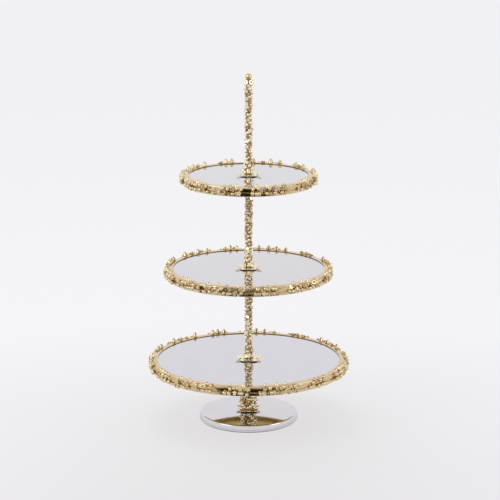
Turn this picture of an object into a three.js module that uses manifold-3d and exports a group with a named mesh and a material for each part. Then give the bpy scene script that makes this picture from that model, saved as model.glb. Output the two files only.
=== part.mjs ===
// Tiered cake stand: three round mirror trays with gold rims dressed in blossoms, clamped one
// above another between stem sections that screw together, on a round chromed foot.
//
// Millimetres, +Z up. The origin is the centre of the foot's underside, where it meets the table.

import * as THREE from 'three';
import { mergeVertices } from 'three/addons/utils/BufferGeometryUtils.js';
import Module from 'manifold-3d';

const wasm = await Module();
wasm.setup();

// ---- driving dimensions ----

const ROUND = 44; // sides of the foot and the rims
const DISC_ROUND = 32; // sides of the discs inside a tray
const ROD_ROUND = 16; // sides of rods and studs
const WASHER_ROUND = 12; // sides of washers and bushes
const BLOSSOM_SIDES = 4;
const WIRE_SIDES = 4;
const STEPS_PER_TURN = 9; // of a vine's wire
const GAP = 0.1; // clearance between stacked pieces

const TRAYS = [
  { name: 'bottom', radius: 150, mirrorTop: 95, sprays: 7 },
  { name: 'middle', radius: 125, mirrorTop: 240, sprays: 6 },
  { name: 'top', radius: 100, mirrorTop: 385, sprays: 5 },
];

// tray rim and floor
const LIP_WIDTH = 9.3;
const LIP_HEIGHT = 1; // top of the lip above the mirror
const RIM_DEPTH = 13; // lower edge of the rim below the mirror
const RIM_SHEET = 1.2;
const RIM_CORNER = 1.2;
const GLASS_THICK = 3;
const BOARD_THICK = 2.8;
const PLATE_THICK = 1;
const GLASS_MARGIN = 0.9; // all round, between the mirror or under plate and the rim's wall
const BOARD_MARGIN = 1.4;
const BUSH_RADIUS = 5;
const BUSH_CLEARANCE = 0.2;
const BUSH_FLANGE_RADIUS = 11;
const BUSH_FLANGE_THICK = 2.4;

// blossoms round the rims
const WIRE_RADIUS = 0.9;
const WIRE_CLEARANCE = 0.5;
const WIRE_DROP = 5; // below the mirror
const UPPER_BLOSSOM_RISE = 6; // above the mirror
const LOWER_BLOSSOM_DROP = 10.5; // below the mirror
const RIM_BLOSSOM_STAND = 3.4; // from the rim to a blossom's middle
const RIM_BLOSSOM_STALK = 1.9; // radius
const RIM_BLOSSOM_MOUTH = 2.9; // radius
const SPRAY_UPPER = [0.11, 0.23, 0.328, 0.453, 0.693, 0.76, 0.838]; // shares of one spray's length
const SPRAY_LOWER = [0.28, 0.73];

// foot
const BASE_RADIUS = 76;
const BASE_CENTRE_HEIGHT = 13;
const BASE_EDGE_HEIGHT = 11;
const BASE_BEVEL_WIDTH = 2;
const BASE_BEVEL_DROP = 2;
const BASE_UNDER_CHAMFER = 1.5;
const BASE_CROWN_STEPS = 3;
const PAD_RADIUS = 70;
const PAD_THICK = 1;
const PAD_HOLE_MARGIN = 1.5; // outside the screw's recess
const SCREW_HEAD_RADIUS = 5.5;
const SCREW_HEAD_THICK = 2.5;
const SCREW_SOCKET_RADIUS = 2;
const SCREW_SOCKET_SHARE = 0.7; // of the head's thickness
const SPRING_WASHER_RADIUS = 6.3;
const SCREW_RECESS_RADIUS = 7.5;
const SCREW_RECESS_TOP = 5.2;
const SCREW_LENGTH = 20;

// thread of the studs that join the sections
const STUD_RADIUS = 3;
const STUD_CHAMFER = 0.6;
const STUD_HOLE_RADIUS = 3.2;
const STUD_GRIP = 12; // length held in the section below, and length that enters the one above
const HOLE_SPARE = 1.5;

// stem sections
const ROD_RADIUS = 3.6;
const BOSS_RADIUS = 5;
const BOSS_LENGTH = 16;
const BOSS_TAPER = 3;
const SHOULDER_RADIUS = 8;
const SHOULDER_LENGTH = 3;
const SHOULDER_TAPER = 2;
const PEDESTAL_RADIUS = 8;
const HANDLE_TOP = 530.6;
const FINIAL_RADIUS = 4.65;
const FINIAL_FOOT_SHARE = 0.75; // where the ball begins, as a share of its radius below the middle
const FINIAL_STEPS = 6;
const FINIAL_SPIGOT_RADIUS = 1.5;
const FINIAL_SPIGOT_LENGTH = 6;
const SPIGOT_CLEARANCE = 0.15;
const SPIGOT_HOLE_SPARE = 1;

// vines
const VINE_CLEARANCE = 0.65; // between a rod and the middle of the wire's bends
const VINE_PITCH = 24;
const VINE_REACH = 1; // height over which the wire looks ahead for a wider rod
const VINE_FOOT_GAP = 2.2;
const VINE_HEAD_GAP = 7; // below a shoulder
const HANDLE_VINE_HEAD_GAP = 2.5;
const VINE_BLOSSOM_STALK = 0.8;
const VINE_BLOSSOM_SINK = 0.3; // into the wire
const SECTION_BLOSSOMS = { count: 15, mouth: 2.6, reach: 2.4 };
const HANDLE_BLOSSOMS = { count: 17, mouth: 2.6, reach: 2.4 };
const PEDESTAL_BLOSSOMS = { count: 22, mouth: 3.3, reach: 3.9 };
const PEDESTAL_VINE_TURNS = 4;
const PEDESTAL_VINE_FOOT = 5; // above the foot's top
const PEDESTAL_VINE_HEAD_GAP = 2.5;

// petal collar, pad washer and thrust washer
const COLLAR_THICK = 1.2;
const COLLAR_SIZES = { foot: 19.5, bottom: 21, middle: 20, top: 19.3 };
const COLLAR_PETALS = 8;
const COLLAR_HOLLOW_SHARE = 0.62; // of the reach, between two petals
const COLLAR_TIP_SHARE = 0.8; // of the reach, where the flat plate ends and the turned-up tip begins
const COLLAR_BULGE = 1.06; // of a petal's side
const COLLAR_SHOULDER = 0.12; // of a petal's width, where its side bulges most
const LEAF_SHARE = 0.3; // turned-up tip's length, of the reach
const LEAF_SEAT_SHARE = 0.72; // of the reach, where the turned-up tip springs from
const LEAF_STALK = 0.5;
const LEAF_MOUTH = 1.4;
const LEAF_LEAN = Math.PI / 3.5;
const WASHER_THICK = 0.8;
const PAD_WASHER_RADIUS = 11;
const THRUST_WASHER_RADIUS = 8.5;
const THRUST_WASHER_THICK = 1;

// ---- materials ----

function goldPlate() {
  return new THREE.MeshStandardMaterial({ color: '#c9a36a', roughness: 0.18, metalness: 1 });
}

function chromePlate() {
  return new THREE.MeshStandardMaterial({ color: '#d8d5d0', roughness: 0.06, metalness: 1 });
}

function silveredGlass() {
  return new THREE.MeshStandardMaterial({ color: '#dadadd', roughness: 0.02, metalness: 1 });
}

function fibreboard() {
  return new THREE.MeshStandardMaterial({ color: '#8a6a48', roughness: 0.9, metalness: 0 });
}

function blackFelt() {
  return new THREE.MeshStandardMaterial({ color: '#26262a', roughness: 1, metalness: 0 });
}

function zincPlate() {
  return new THREE.MeshStandardMaterial({ color: '#9c9ea0', roughness: 0.4, metalness: 1 });
}

function clearNylon() {
  return new THREE.MeshStandardMaterial({ color: '#e4e0d6', roughness: 0.5, metalness: 0 });
}

// ---- shape helpers ----

/** A named mesh. */
function piece(name, geometry, material) {
  const mesh = new THREE.Mesh(geometry, material);
  mesh.name = name;
  return mesh;
}

/** A profile of [radius, height] points turned about the Z axis. */
function turned(profile, sides) {
  const points = profile.map(([radius, height]) => new THREE.Vector2(radius, height));
  return new THREE.LatheGeometry(points, sides).rotateX(Math.PI / 2);
}

/** A flat ring with square edges. */
function washer(inner, outer, bottom, top, sides = WASHER_ROUND) {
  const corners = [
    [inner, bottom],
    [outer, bottom],
    [outer, top],
    [inner, top],
    [inner, bottom],
  ];
  return turned(corners, sides);
}

/** Corners of a regular polygon about the origin. */
function polygon(sides, radius) {
  return Array.from({ length: sides }, (_, side) => {
    const angle = (2 * Math.PI * side) / sides;
    return new THREE.Vector2(radius * Math.cos(angle), radius * Math.sin(angle));
  });
}

/** A closed three.js geometry as a manifold solid. */
function toSolid(geometry) {
  const bare = geometry.clone();
  bare.deleteAttribute('normal');
  bare.deleteAttribute('uv');
  const merged = mergeVertices(bare, 1e-4);
  const vertProperties = new Float32Array(merged.attributes.position.array);
  const triVerts = new Uint32Array(merged.index.array);
  return new wasm.Manifold(new wasm.Mesh({ numProp: 3, vertProperties, triVerts }));
}

/** A manifold solid as a three.js geometry. */
function toGeometry(solid) {
  const mesh = solid.getMesh();
  const geometry = new THREE.BufferGeometry();
  geometry.setAttribute('position', new THREE.BufferAttribute(mesh.vertProperties, 3));
  geometry.setIndex(new THREE.BufferAttribute(mesh.triVerts, 1));
  return geometry;
}

/** Several closed geometries joined into one. */
function joined(geometries) {
  return toGeometry(geometries.map(toSolid).reduce((sum, solid) => sum.add(solid)));
}

/** A blossom that opens upwards from the origin. */
function blossom(stalkRadius, mouthRadius, height) {
  const cone = new THREE.CylinderGeometry(mouthRadius, stalkRadius, height, BLOSSOM_SIDES);
  return cone.rotateX(Math.PI / 2).translate(0, 0, height / 2);
}

/** The same blossom laid over so that it opens away from the Z axis. */
function outwardBlossom(stalkRadius, mouthRadius, height, radius, angle, z) {
  const laid = blossom(stalkRadius, mouthRadius, height).rotateY(Math.PI / 2);
  return laid.translate(radius, 0, 0).rotateZ(angle).translate(0, 0, z);
}

// ---- trays ----

/** Lip and wall of a tray in one turned piece of sheet metal. */
function rimBand(tray) {
  const outer = tray.radius;
  const inner = outer - LIP_WIDTH;
  const top = tray.mirrorTop + LIP_HEIGHT;
  const bottom = tray.mirrorTop - RIM_DEPTH;
  const underLip = tray.mirrorTop + GAP;
  const profile = [
    [inner, underLip],
    [outer - RIM_SHEET, underLip],
    [outer - RIM_SHEET, bottom],
    [outer, bottom],
    [outer, top - RIM_CORNER],
    [outer - RIM_CORNER, top],
    [inner, top],
    [inner, underLip],
  ];
  return piece(`${tray.name}_rim_band`, turned(profile, ROUND), goldPlate());
}

/** The mirror, its backing board and the sheet metal plate below, as discs with a centre hole. */
function trayFloor(tray) {
  const hole = BUSH_RADIUS + BUSH_CLEARANCE;
  const glassTop = tray.mirrorTop;
  const boardTop = glassTop - GLASS_THICK - GAP;
  const plateTop = boardTop - BOARD_THICK - GAP;
  const reach = tray.radius - RIM_SHEET;
  return [
    piece(
      `${tray.name}_mirror`,
      washer(hole, reach - GLASS_MARGIN, glassTop - GLASS_THICK, glassTop, DISC_ROUND),
      silveredGlass(),
    ),
    piece(
      `${tray.name}_backing_board`,
      washer(hole, reach - BOARD_MARGIN, boardTop - BOARD_THICK, boardTop, DISC_ROUND),
      fibreboard(),
    ),
    piece(
      `${tray.name}_under_plate`,
      washer(hole, reach - GLASS_MARGIN, plateTop - PLATE_THICK, plateTop, DISC_ROUND),
      goldPlate(),
    ),
  ];
}

/** Underside of a tray's floor. */
function floorBottom(tray) {
  return tray.mirrorTop - GLASS_THICK - BOARD_THICK - PLATE_THICK - 2 * GAP;
}

/** Top of the shoulder that carries a tray. */
function shoulderTop(tray) {
  return floorBottom(tray) - BUSH_FLANGE_THICK - THRUST_WASHER_THICK - 3 * GAP;
}

/** Underside of the stem section that stands on a tray. */
function sectionFoot(tray) {
  return tray.mirrorTop + WASHER_THICK + COLLAR_THICK + 3 * GAP;
}

/** Flanged bush through the floor, which the stud passes. */
function hubBush(tray) {
  const flangeTop = floorBottom(tray) - GAP;
  const flangeBottom = flangeTop - BUSH_FLANGE_THICK;
  const top = tray.mirrorTop;
  const profile = [
    [STUD_HOLE_RADIUS, flangeBottom],
    [BUSH_FLANGE_RADIUS, flangeBottom],
    [BUSH_FLANGE_RADIUS, flangeTop],
    [BUSH_RADIUS, flangeTop],
    [BUSH_RADIUS, top],
    [STUD_HOLE_RADIUS, top],
    [STUD_HOLE_RADIUS, flangeBottom],
  ];
  return piece(`${tray.name}_hub_bush`, turned(profile, WASHER_ROUND), zincPlate());
}

/** Nylon washer between the bush and the shoulder, on which the tray turns. */
function thrustWasher(tray) {
  const top = floorBottom(tray) - BUSH_FLANGE_THICK - 2 * GAP;
  const ring = washer(STUD_HOLE_RADIUS, THRUST_WASHER_RADIUS, top - THRUST_WASHER_THICK, top);
  return piece(`${tray.name}_thrust_washer`, ring, clearNylon());
}

/** Wire ring round the rim with the blossoms that grow from it. */
function rimGarland(tray) {
  const wireZ = tray.mirrorTop - WIRE_DROP;
  const wireRadius = tray.radius + WIRE_CLEARANCE + WIRE_RADIUS;
  const wire = new THREE.TorusGeometry(wireRadius, WIRE_RADIUS, WIRE_SIDES, ROUND);
  const shapes = [wire.translate(0, 0, wireZ)];
  const upperHeight = UPPER_BLOSSOM_RISE + WIRE_DROP;
  const lowerHeight = LOWER_BLOSSOM_DROP - WIRE_DROP;
  const blossomRadius = tray.radius + RIM_BLOSSOM_STAND;
  for (let spray = 0; spray < tray.sprays; spray += 1) {
    const turn = (2 * Math.PI) / tray.sprays;
    for (const share of SPRAY_UPPER) {
      const upper = blossom(RIM_BLOSSOM_STALK, RIM_BLOSSOM_MOUTH, upperHeight);
      shapes.push(upper.translate(blossomRadius, 0, wireZ).rotateZ((spray + share) * turn));
    }
    for (const share of SPRAY_LOWER) {
      const lower = blossom(RIM_BLOSSOM_STALK, RIM_BLOSSOM_MOUTH, lowerHeight).rotateX(Math.PI);
      shapes.push(lower.translate(blossomRadius, 0, wireZ).rotateZ((spray + share) * turn));
    }
  }
  return piece(`${tray.name}_rim_garland`, joined(shapes), goldPlate());
}

/** One whole tray. */
function trayAssembly(tray) {
  const group = new THREE.Group();
  group.add(rimBand(tray), ...trayFloor(tray), rimGarland(tray), hubBush(tray), thrustWasher(tray));
  return group;
}

// ---- blossom vines ----

/** A helix about Z whose radius follows the rod that it climbs. */
class VineCurve extends THREE.Curve {
  constructor(radiusAt, bottom, top, turns) {
    super();
    this.radiusAt = radiusAt;
    this.bottom = bottom;
    this.top = top;
    this.turns = turns;
  }

  getPoint(share, target = new THREE.Vector3()) {
    const z = this.bottom + (this.top - this.bottom) * share;
    const angle = 2 * Math.PI * this.turns * share;
    const radius = this.radiusAt(z);
    return target.set(radius * Math.cos(angle), radius * Math.sin(angle), z);
  }
}

/** A wire that climbs a rod, with blossoms along it that open outwards. */
function vine(curve, blossoms) {
  const steps = Math.ceil(curve.turns * STEPS_PER_TURN);
  const section = new THREE.Shape(polygon(WIRE_SIDES, WIRE_RADIUS));
  const wire = new THREE.ExtrudeGeometry(section, { extrudePath: curve, steps });
  const shapes = [wire];
  for (let index = 0; index < blossoms.count; index += 1) {
    const point = curve.getPoint((index + 0.5) / blossoms.count);
    const angle = Math.atan2(point.y, point.x);
    const radius = Math.hypot(point.x, point.y) - VINE_BLOSSOM_SINK;
    const { mouth, reach } = blossoms;
    shapes.push(outwardBlossom(VINE_BLOSSOM_STALK, mouth, reach, radius, angle, point.z));
  }
  return joined(shapes);
}

// ---- collars, washers and studs ----

/** Thin flower-shaped plate whose petal tips turn up. */
function petalCollar(name, reach, bottom) {
  const outline = new THREE.Shape();
  const hollow = reach * COLLAR_HOLLOW_SHARE;
  const tip = reach * COLLAR_TIP_SHARE;
  const bulge = tip * COLLAR_BULGE;
  const turn = (2 * Math.PI) / COLLAR_PETALS;
  const corner = turn * COLLAR_SHOULDER;
  const at = (radius, angle) => [radius * Math.cos(angle), radius * Math.sin(angle)];
  outline.moveTo(...at(hollow, 0));
  for (let petal = 0; petal < COLLAR_PETALS; petal += 1) {
    const start = petal * turn;
    outline.quadraticCurveTo(...at(bulge, start + corner), ...at(tip, start + turn / 2));
    outline.quadraticCurveTo(...at(bulge, start + turn - corner), ...at(hollow, start + turn));
  }
  outline.holes.push(new THREE.Path(polygon(WASHER_ROUND, STUD_HOLE_RADIUS)));
  const plate = new THREE.ExtrudeGeometry(outline, {
    depth: COLLAR_THICK,
    bevelEnabled: false,
    curveSegments: 2,
  });
  const shapes = [plate.translate(0, 0, bottom)];
  for (let petal = 0; petal < COLLAR_PETALS; petal += 1) {
    const leaf = blossom(LEAF_STALK, LEAF_MOUTH, reach * LEAF_SHARE).rotateY(LEAF_LEAN);
    leaf.translate(reach * LEAF_SEAT_SHARE, 0, bottom + COLLAR_THICK / 2);
    shapes.push(leaf.rotateZ((petal + 0.5) * turn));
  }
  return piece(name, joined(shapes), goldPlate());
}

/** Clear washer that keeps a collar off the glass. */
function padWasher(name, tray) {
  const bottom = tray.mirrorTop + GAP;
  const ring = washer(STUD_HOLE_RADIUS, PAD_WASHER_RADIUS, bottom, bottom + WASHER_THICK);
  return piece(name, ring, clearNylon());
}

/** Threaded stud held in the section below a tray and standing up through it. */
function stud(name, tray) {
  const bottom = shoulderTop(tray) - STUD_GRIP;
  const top = sectionFoot(tray) + STUD_GRIP;
  const profile = [
    [0, bottom],
    [STUD_RADIUS - STUD_CHAMFER, bottom],
    [STUD_RADIUS, bottom + STUD_CHAMFER],
    [STUD_RADIUS, top - STUD_CHAMFER],
    [STUD_RADIUS - STUD_CHAMFER, top],
    [0, top],
  ];
  return piece(name, turned(profile, ROD_ROUND), zincPlate());
}

// ---- stem sections ----

/** Blind hole for a stud, as the part of a profile that climbs from its mouth to the axis. */
function footHole(foot) {
  const ceiling = foot + STUD_GRIP + HOLE_SPARE;
  return [
    [0, ceiling],
    [STUD_HOLE_RADIUS, ceiling],
    [STUD_HOLE_RADIUS, foot],
  ];
}

/** Blind hole for a stud, as the part of a profile that goes down from its mouth to the axis. */
function headHole(head) {
  const floor = head - STUD_GRIP - HOLE_SPARE;
  return [
    [STUD_HOLE_RADIUS, head],
    [STUD_HOLE_RADIUS, floor],
    [0, floor],
  ];
}

/** Threaded boss at the foot of a section, with its stud hole and its taper to the rod. */
function footBoss(foot) {
  return [
    ...footHole(foot),
    [BOSS_RADIUS, foot],
    [BOSS_RADIUS, foot + BOSS_LENGTH],
    [ROD_RADIUS, foot + BOSS_LENGTH + BOSS_TAPER],
  ];
}

/** Radius of a stem section's rod at a height. */
function rodRadius(z, foot, top) {
  const bossTop = foot + BOSS_LENGTH;
  const neck = top - BOSS_LENGTH;
  const fromBoss = THREE.MathUtils.clamp((z - bossTop) / BOSS_TAPER, 0, 1);
  const toNeck = THREE.MathUtils.clamp((neck - z) / BOSS_TAPER, 0, 1);
  return BOSS_RADIUS + (ROD_RADIUS - BOSS_RADIUS) * Math.min(fromBoss, toNeck);
}

/** Rod between two trays, with a threaded boss at its foot and a shoulder at its top. */
function stemRod(name, below, above) {
  const foot = sectionFoot(below);
  const top = shoulderTop(above);
  const profile = [
    ...footBoss(foot),
    [ROD_RADIUS, top - BOSS_LENGTH - BOSS_TAPER],
    [BOSS_RADIUS, top - BOSS_LENGTH],
    [BOSS_RADIUS, top - SHOULDER_LENGTH - SHOULDER_TAPER],
    [SHOULDER_RADIUS, top - SHOULDER_LENGTH],
    [SHOULDER_RADIUS, top],
    ...headHole(top),
  ];
  return piece(name, turned(profile, ROD_ROUND), goldPlate());
}

/** Blossom vine of a rod between two heights. */
function stemVine(name, foot, top, rodTop, blossoms) {
  const stand = VINE_CLEARANCE + WIRE_RADIUS;
  const bottom = foot + VINE_FOOT_GAP;
  const turns = Math.round((top - bottom) / VINE_PITCH);
  const radiusAt = (z) => {
    const below = rodRadius(z - VINE_REACH, foot, rodTop);
    const above = rodRadius(z + VINE_REACH, foot, rodTop);
    return stand + Math.max(below, above);
  };
  const curve = new VineCurve(radiusAt, bottom, top, turns);
  return piece(name, vine(curve, blossoms), goldPlate());
}

/** Collar of the section that stands on a tray. */
function trayCollar(name, tray) {
  return petalCollar(name, COLLAR_SIZES[tray.name], tray.mirrorTop + WASHER_THICK + 2 * GAP);
}

/** A stem section that carries the tray above it. */
function stemSection(name, below, above) {
  const group = new THREE.Group();
  const foot = sectionFoot(below);
  const top = shoulderTop(above);
  group.add(
    padWasher(`${name}_pad_washer`, below),
    trayCollar(`${name}_collar`, below),
    stemRod(`${name}_rod`, below, above),
    stemVine(`${name}_vine`, foot, top - VINE_HEAD_GAP, top, SECTION_BLOSSOMS),
    stud(`${name}_stud`, above),
  );
  return group;
}

/** The carrying handle above the top tray, with its ball finial. */
function handleSection(below) {
  const group = new THREE.Group();
  const foot = sectionFoot(below);
  const spigotHole = FINIAL_SPIGOT_RADIUS + SPIGOT_CLEARANCE;
  const spigotFloor = HANDLE_TOP - FINIAL_SPIGOT_LENGTH - SPIGOT_HOLE_SPARE;
  const profile = [
    ...footBoss(foot),
    [ROD_RADIUS, HANDLE_TOP],
    [spigotHole, HANDLE_TOP],
    [spigotHole, spigotFloor],
    [0, spigotFloor],
  ];
  const vineTop = HANDLE_TOP - HANDLE_VINE_HEAD_GAP;
  const beyond = HANDLE_TOP + 2 * BOSS_LENGTH; // a handle has no shoulder, so its rod never widens
  group.add(
    padWasher('handle_pad_washer', below),
    trayCollar('handle_collar', below),
    piece('handle_rod', turned(profile, ROD_ROUND), goldPlate()),
    stemVine('handle_vine', foot, vineTop, beyond, HANDLE_BLOSSOMS),
    finial(),
  );
  return group;
}

/** Polished ball on a spigot that is pressed into the handle. */
function finial() {
  const foot = HANDLE_TOP + GAP;
  const centre = foot + FINIAL_RADIUS;
  const start = Math.asin(FINIAL_FOOT_SHARE);
  const profile = [
    [0, foot - FINIAL_SPIGOT_LENGTH],
    [FINIAL_SPIGOT_RADIUS, foot - FINIAL_SPIGOT_LENGTH],
    [FINIAL_SPIGOT_RADIUS, foot],
    [FINIAL_RADIUS * Math.cos(start), foot],
  ];
  for (let step = 0; step <= FINIAL_STEPS; step += 1) {
    const angle = -start + ((start + Math.PI / 2) * step) / FINIAL_STEPS;
    const radius = step === FINIAL_STEPS ? 0 : FINIAL_RADIUS * Math.cos(angle);
    profile.push([radius, centre + FINIAL_RADIUS * Math.sin(angle)]);
  }
  return piece('finial', turned(profile, WASHER_ROUND), goldPlate());
}

// ---- foot and pedestal ----

/** Chromed disc with a slightly crowned top, a bevelled edge and a screw hole. */
function baseDisc() {
  const bottom = PAD_THICK + GAP;
  const rimRadius = BASE_RADIUS - BASE_BEVEL_WIDTH;
  const profile = [
    [STUD_HOLE_RADIUS, SCREW_RECESS_TOP],
    [SCREW_RECESS_RADIUS, SCREW_RECESS_TOP],
    [SCREW_RECESS_RADIUS, bottom],
    [BASE_RADIUS - BASE_UNDER_CHAMFER, bottom],
    [BASE_RADIUS, bottom + BASE_UNDER_CHAMFER],
    [BASE_RADIUS, BASE_EDGE_HEIGHT - BASE_BEVEL_DROP],
    [rimRadius, BASE_EDGE_HEIGHT],
  ];
  for (let step = BASE_CROWN_STEPS - 1; step >= 1; step -= 1) {
    const share = step / BASE_CROWN_STEPS;
    const drop = (BASE_CENTRE_HEIGHT - BASE_EDGE_HEIGHT) * share ** 2;
    profile.push([rimRadius * share, BASE_CENTRE_HEIGHT - drop]);
  }
  profile.push([STUD_HOLE_RADIUS, BASE_CENTRE_HEIGHT], [STUD_HOLE_RADIUS, SCREW_RECESS_TOP]);
  return piece('base_disc', turned(profile, ROUND), chromePlate());
}

/** Felt ring under the foot. */
function basePad() {
  const ring = washer(SCREW_RECESS_RADIUS + PAD_HOLE_MARGIN, PAD_RADIUS, 0, PAD_THICK, DISC_ROUND);
  return piece('base_pad', ring, blackFelt());
}

/** Screw that holds the pedestal to the foot from below, and its spring washer. */
function baseScrew() {
  const washerTop = SCREW_RECESS_TOP - GAP;
  const washerBottom = washerTop - WASHER_THICK;
  const headTop = washerBottom - GAP;
  const headBottom = headTop - SCREW_HEAD_THICK;
  const tip = headTop + SCREW_LENGTH;
  const socketTop = headBottom + SCREW_HEAD_THICK * SCREW_SOCKET_SHARE;
  const profile = [
    [0, socketTop],
    [SCREW_SOCKET_RADIUS, socketTop],
    [SCREW_SOCKET_RADIUS, headBottom],
    [SCREW_HEAD_RADIUS, headBottom],
    [SCREW_HEAD_RADIUS, headTop],
    [STUD_RADIUS, headTop],
    [STUD_RADIUS, tip],
    [0, tip],
  ];
  const ring = washer(STUD_HOLE_RADIUS, SPRING_WASHER_RADIUS, washerBottom, washerTop);
  return [
    piece('base_screw', turned(profile, ROD_ROUND), zincPlate()),
    piece('base_spring_washer', ring, zincPlate()),
  ];
}

/** Core of the short pedestal between the foot and the bottom tray. */
function pedestalCore(tray) {
  const foot = BASE_CENTRE_HEIGHT + COLLAR_THICK + 2 * GAP;
  const top = shoulderTop(tray);
  const profile = [
    ...footHole(foot),
    [PEDESTAL_RADIUS, foot],
    [PEDESTAL_RADIUS, top],
    ...headHole(top),
  ];
  return piece('pedestal_core', turned(profile, ROD_ROUND), goldPlate());
}

/** Blossom vine wound close round the pedestal. */
function pedestalVine(tray) {
  const radius = PEDESTAL_RADIUS + VINE_CLEARANCE + WIRE_RADIUS;
  const bottom = BASE_CENTRE_HEIGHT + PEDESTAL_VINE_FOOT;
  const top = shoulderTop(tray) - PEDESTAL_VINE_HEAD_GAP;
  const curve = new VineCurve(() => radius, bottom, top, PEDESTAL_VINE_TURNS);
  return piece('pedestal_vine', vine(curve, PEDESTAL_BLOSSOMS), goldPlate());
}

/** Everything that stands on the table and doesn't move. */
function footAssembly(tray) {
  const group = new THREE.Group();
  group.add(
    basePad(),
    baseDisc(),
    ...baseScrew(),
    petalCollar('foot_collar', COLLAR_SIZES.foot, BASE_CENTRE_HEIGHT + GAP),
    pedestalCore(tray),
    pedestalVine(tray),
    stud('pedestal_stud', tray),
  );
  return group;
}

// ---- the whole stand ----

const [bottomTray, middleTray, topTray] = TRAYS;
const cakeStand = new THREE.Group();
cakeStand.add(
  footAssembly(bottomTray),
  ...TRAYS.map(trayAssembly),
  stemSection('lower_stem', bottomTray, middleTray),
  stemSection('upper_stem', middleTray, topTray),
  handleSection(topTray),
);

export default cakeStand;
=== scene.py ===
"""Tiered cake stand: three mirror trays in gold rims trimmed with blossoms, on a blossom stem.

It stands on a chromed foot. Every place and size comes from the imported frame. All lengths are metres.
"""

import logging
import math
import random
from dataclasses import dataclass, field
from enum import Enum
from typing import Any, Sequence

import bmesh
import bpy
from mathutils import Matrix, Vector


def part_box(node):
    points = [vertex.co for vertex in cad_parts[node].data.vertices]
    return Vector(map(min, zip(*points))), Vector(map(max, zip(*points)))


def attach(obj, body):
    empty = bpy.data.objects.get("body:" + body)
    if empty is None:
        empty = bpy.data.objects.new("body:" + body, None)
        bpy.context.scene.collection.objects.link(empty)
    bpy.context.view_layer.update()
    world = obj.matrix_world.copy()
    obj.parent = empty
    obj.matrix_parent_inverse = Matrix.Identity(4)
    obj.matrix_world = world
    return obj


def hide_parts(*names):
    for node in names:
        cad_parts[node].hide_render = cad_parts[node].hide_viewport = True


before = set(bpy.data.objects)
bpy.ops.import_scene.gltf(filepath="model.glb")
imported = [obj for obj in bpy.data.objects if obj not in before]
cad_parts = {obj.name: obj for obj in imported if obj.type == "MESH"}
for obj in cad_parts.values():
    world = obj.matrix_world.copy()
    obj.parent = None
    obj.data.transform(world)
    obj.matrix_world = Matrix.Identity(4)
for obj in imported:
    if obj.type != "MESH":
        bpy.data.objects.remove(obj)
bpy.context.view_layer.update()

MM = 0.001
FULL_TURN = 2 * math.pi
GOLDEN_ANGLE = math.pi * (3 - math.sqrt(5))
SHARP_ANGLE = math.radians(50)
UP = Vector((0, 0, 1))

MERGE_DISTANCE = 0.001 * MM
WIRE_SIDES = 6

# Hardware that every sub-assembly shares: radii of its holes, and how deep a stud goes.
STUD_BORE = 3.2 * MM
STUD_DEPTH = 13.5 * MM
DISC_HOLE = 5.2 * MM
FELT_HOLE = 9 * MM

logging.basicConfig(level=logging.INFO, format="%(message)s")
LOG = logging.getLogger("cake_stand")


# ---- finishes ----


def linear(hex_colour: str) -> tuple[float, float, float, float]:
    """Turn an sRGB hex colour into linear light.

    Args:
        hex_colour: Six hex digits, with or without a leading hash.

    Returns:
        Red, green, blue and an alpha of 1, for a shader socket.
    """
    digits = hex_colour.lstrip("#")
    channels = [int(digits[start : start + 2], 16) / 255 for start in (0, 2, 4)]
    red, green, blue = (c / 12.92 if c <= 0.04045 else ((c + 0.055) / 1.055) ** 2.4 for c in channels)
    return red, green, blue, 1.0


def add_node(
    tree: bpy.types.NodeTree,
    kind: str,
    settings: dict[Any, Any] | None = None,
    links: dict[Any, bpy.types.NodeSocket] | None = None,
) -> bpy.types.Node:
    """Add one node with its settings and its incoming links.

    Args:
        tree: The node tree to add to.
        kind: The node's type, such as "ShaderNodeTexNoise".
        settings: Values by input socket (name or index), or by property name.
        links: Output sockets to connect, by input socket (name or index).

    Returns:
        The new node.
    """
    node = tree.nodes.new(kind)
    for key, value in (settings or {}).items():
        if isinstance(key, int) or key in node.inputs:
            node.inputs[key].default_value = value
        else:
            setattr(node, key, value)
    for key, socket in (links or {}).items():
        tree.links.new(socket, node.inputs[key])
    return node


@dataclass(frozen=True)
class Finish:
    """One surface finish, made into a material the first time that it is asked for.

    Attributes:
        name: The material's name.
    """

    name: str

    def material(self) -> bpy.types.Material:
        """Return the finish's material, making it if it isn't there yet.

        Returns:
            The material.
        """
        found = bpy.data.materials.get(self.name)
        if found is not None:
            return found
        made = bpy.data.materials.new(self.name)
        made.use_nodes = True
        tree = made.node_tree
        tree.nodes.clear()
        place = add_node(tree, "ShaderNodeTexCoord").outputs["Object"]
        shader = self.shade(tree, place)
        add_node(tree, "ShaderNodeOutputMaterial", links={"Surface": shader.outputs[0]})
        return made

    def shade(self, tree: bpy.types.NodeTree, place: bpy.types.NodeSocket) -> bpy.types.Node:
        """Build the nodes that end in the surface shader.

        Args:
            tree: The material's node tree.
            place: Object coordinates, in metres.

        Returns:
            The shader node.
        """
        raise NotImplementedError


def noise(
    tree: bpy.types.NodeTree, place: bpy.types.NodeSocket, size: float, detail: float = 3.0
) -> bpy.types.NodeSocket:
    """Noise whose blotches are about one size across.

    Args:
        tree: The material's node tree.
        place: The coordinates that carry the pattern.
        size: Blotch size in metres.
        detail: Octaves of finer noise.

    Returns:
        The noise value.
    """
    settings = {"Scale": 1 / size, "Detail": detail, "Roughness": 0.55}
    return add_node(tree, "ShaderNodeTexNoise", settings, {"Vector": place}).outputs[0]


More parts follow.
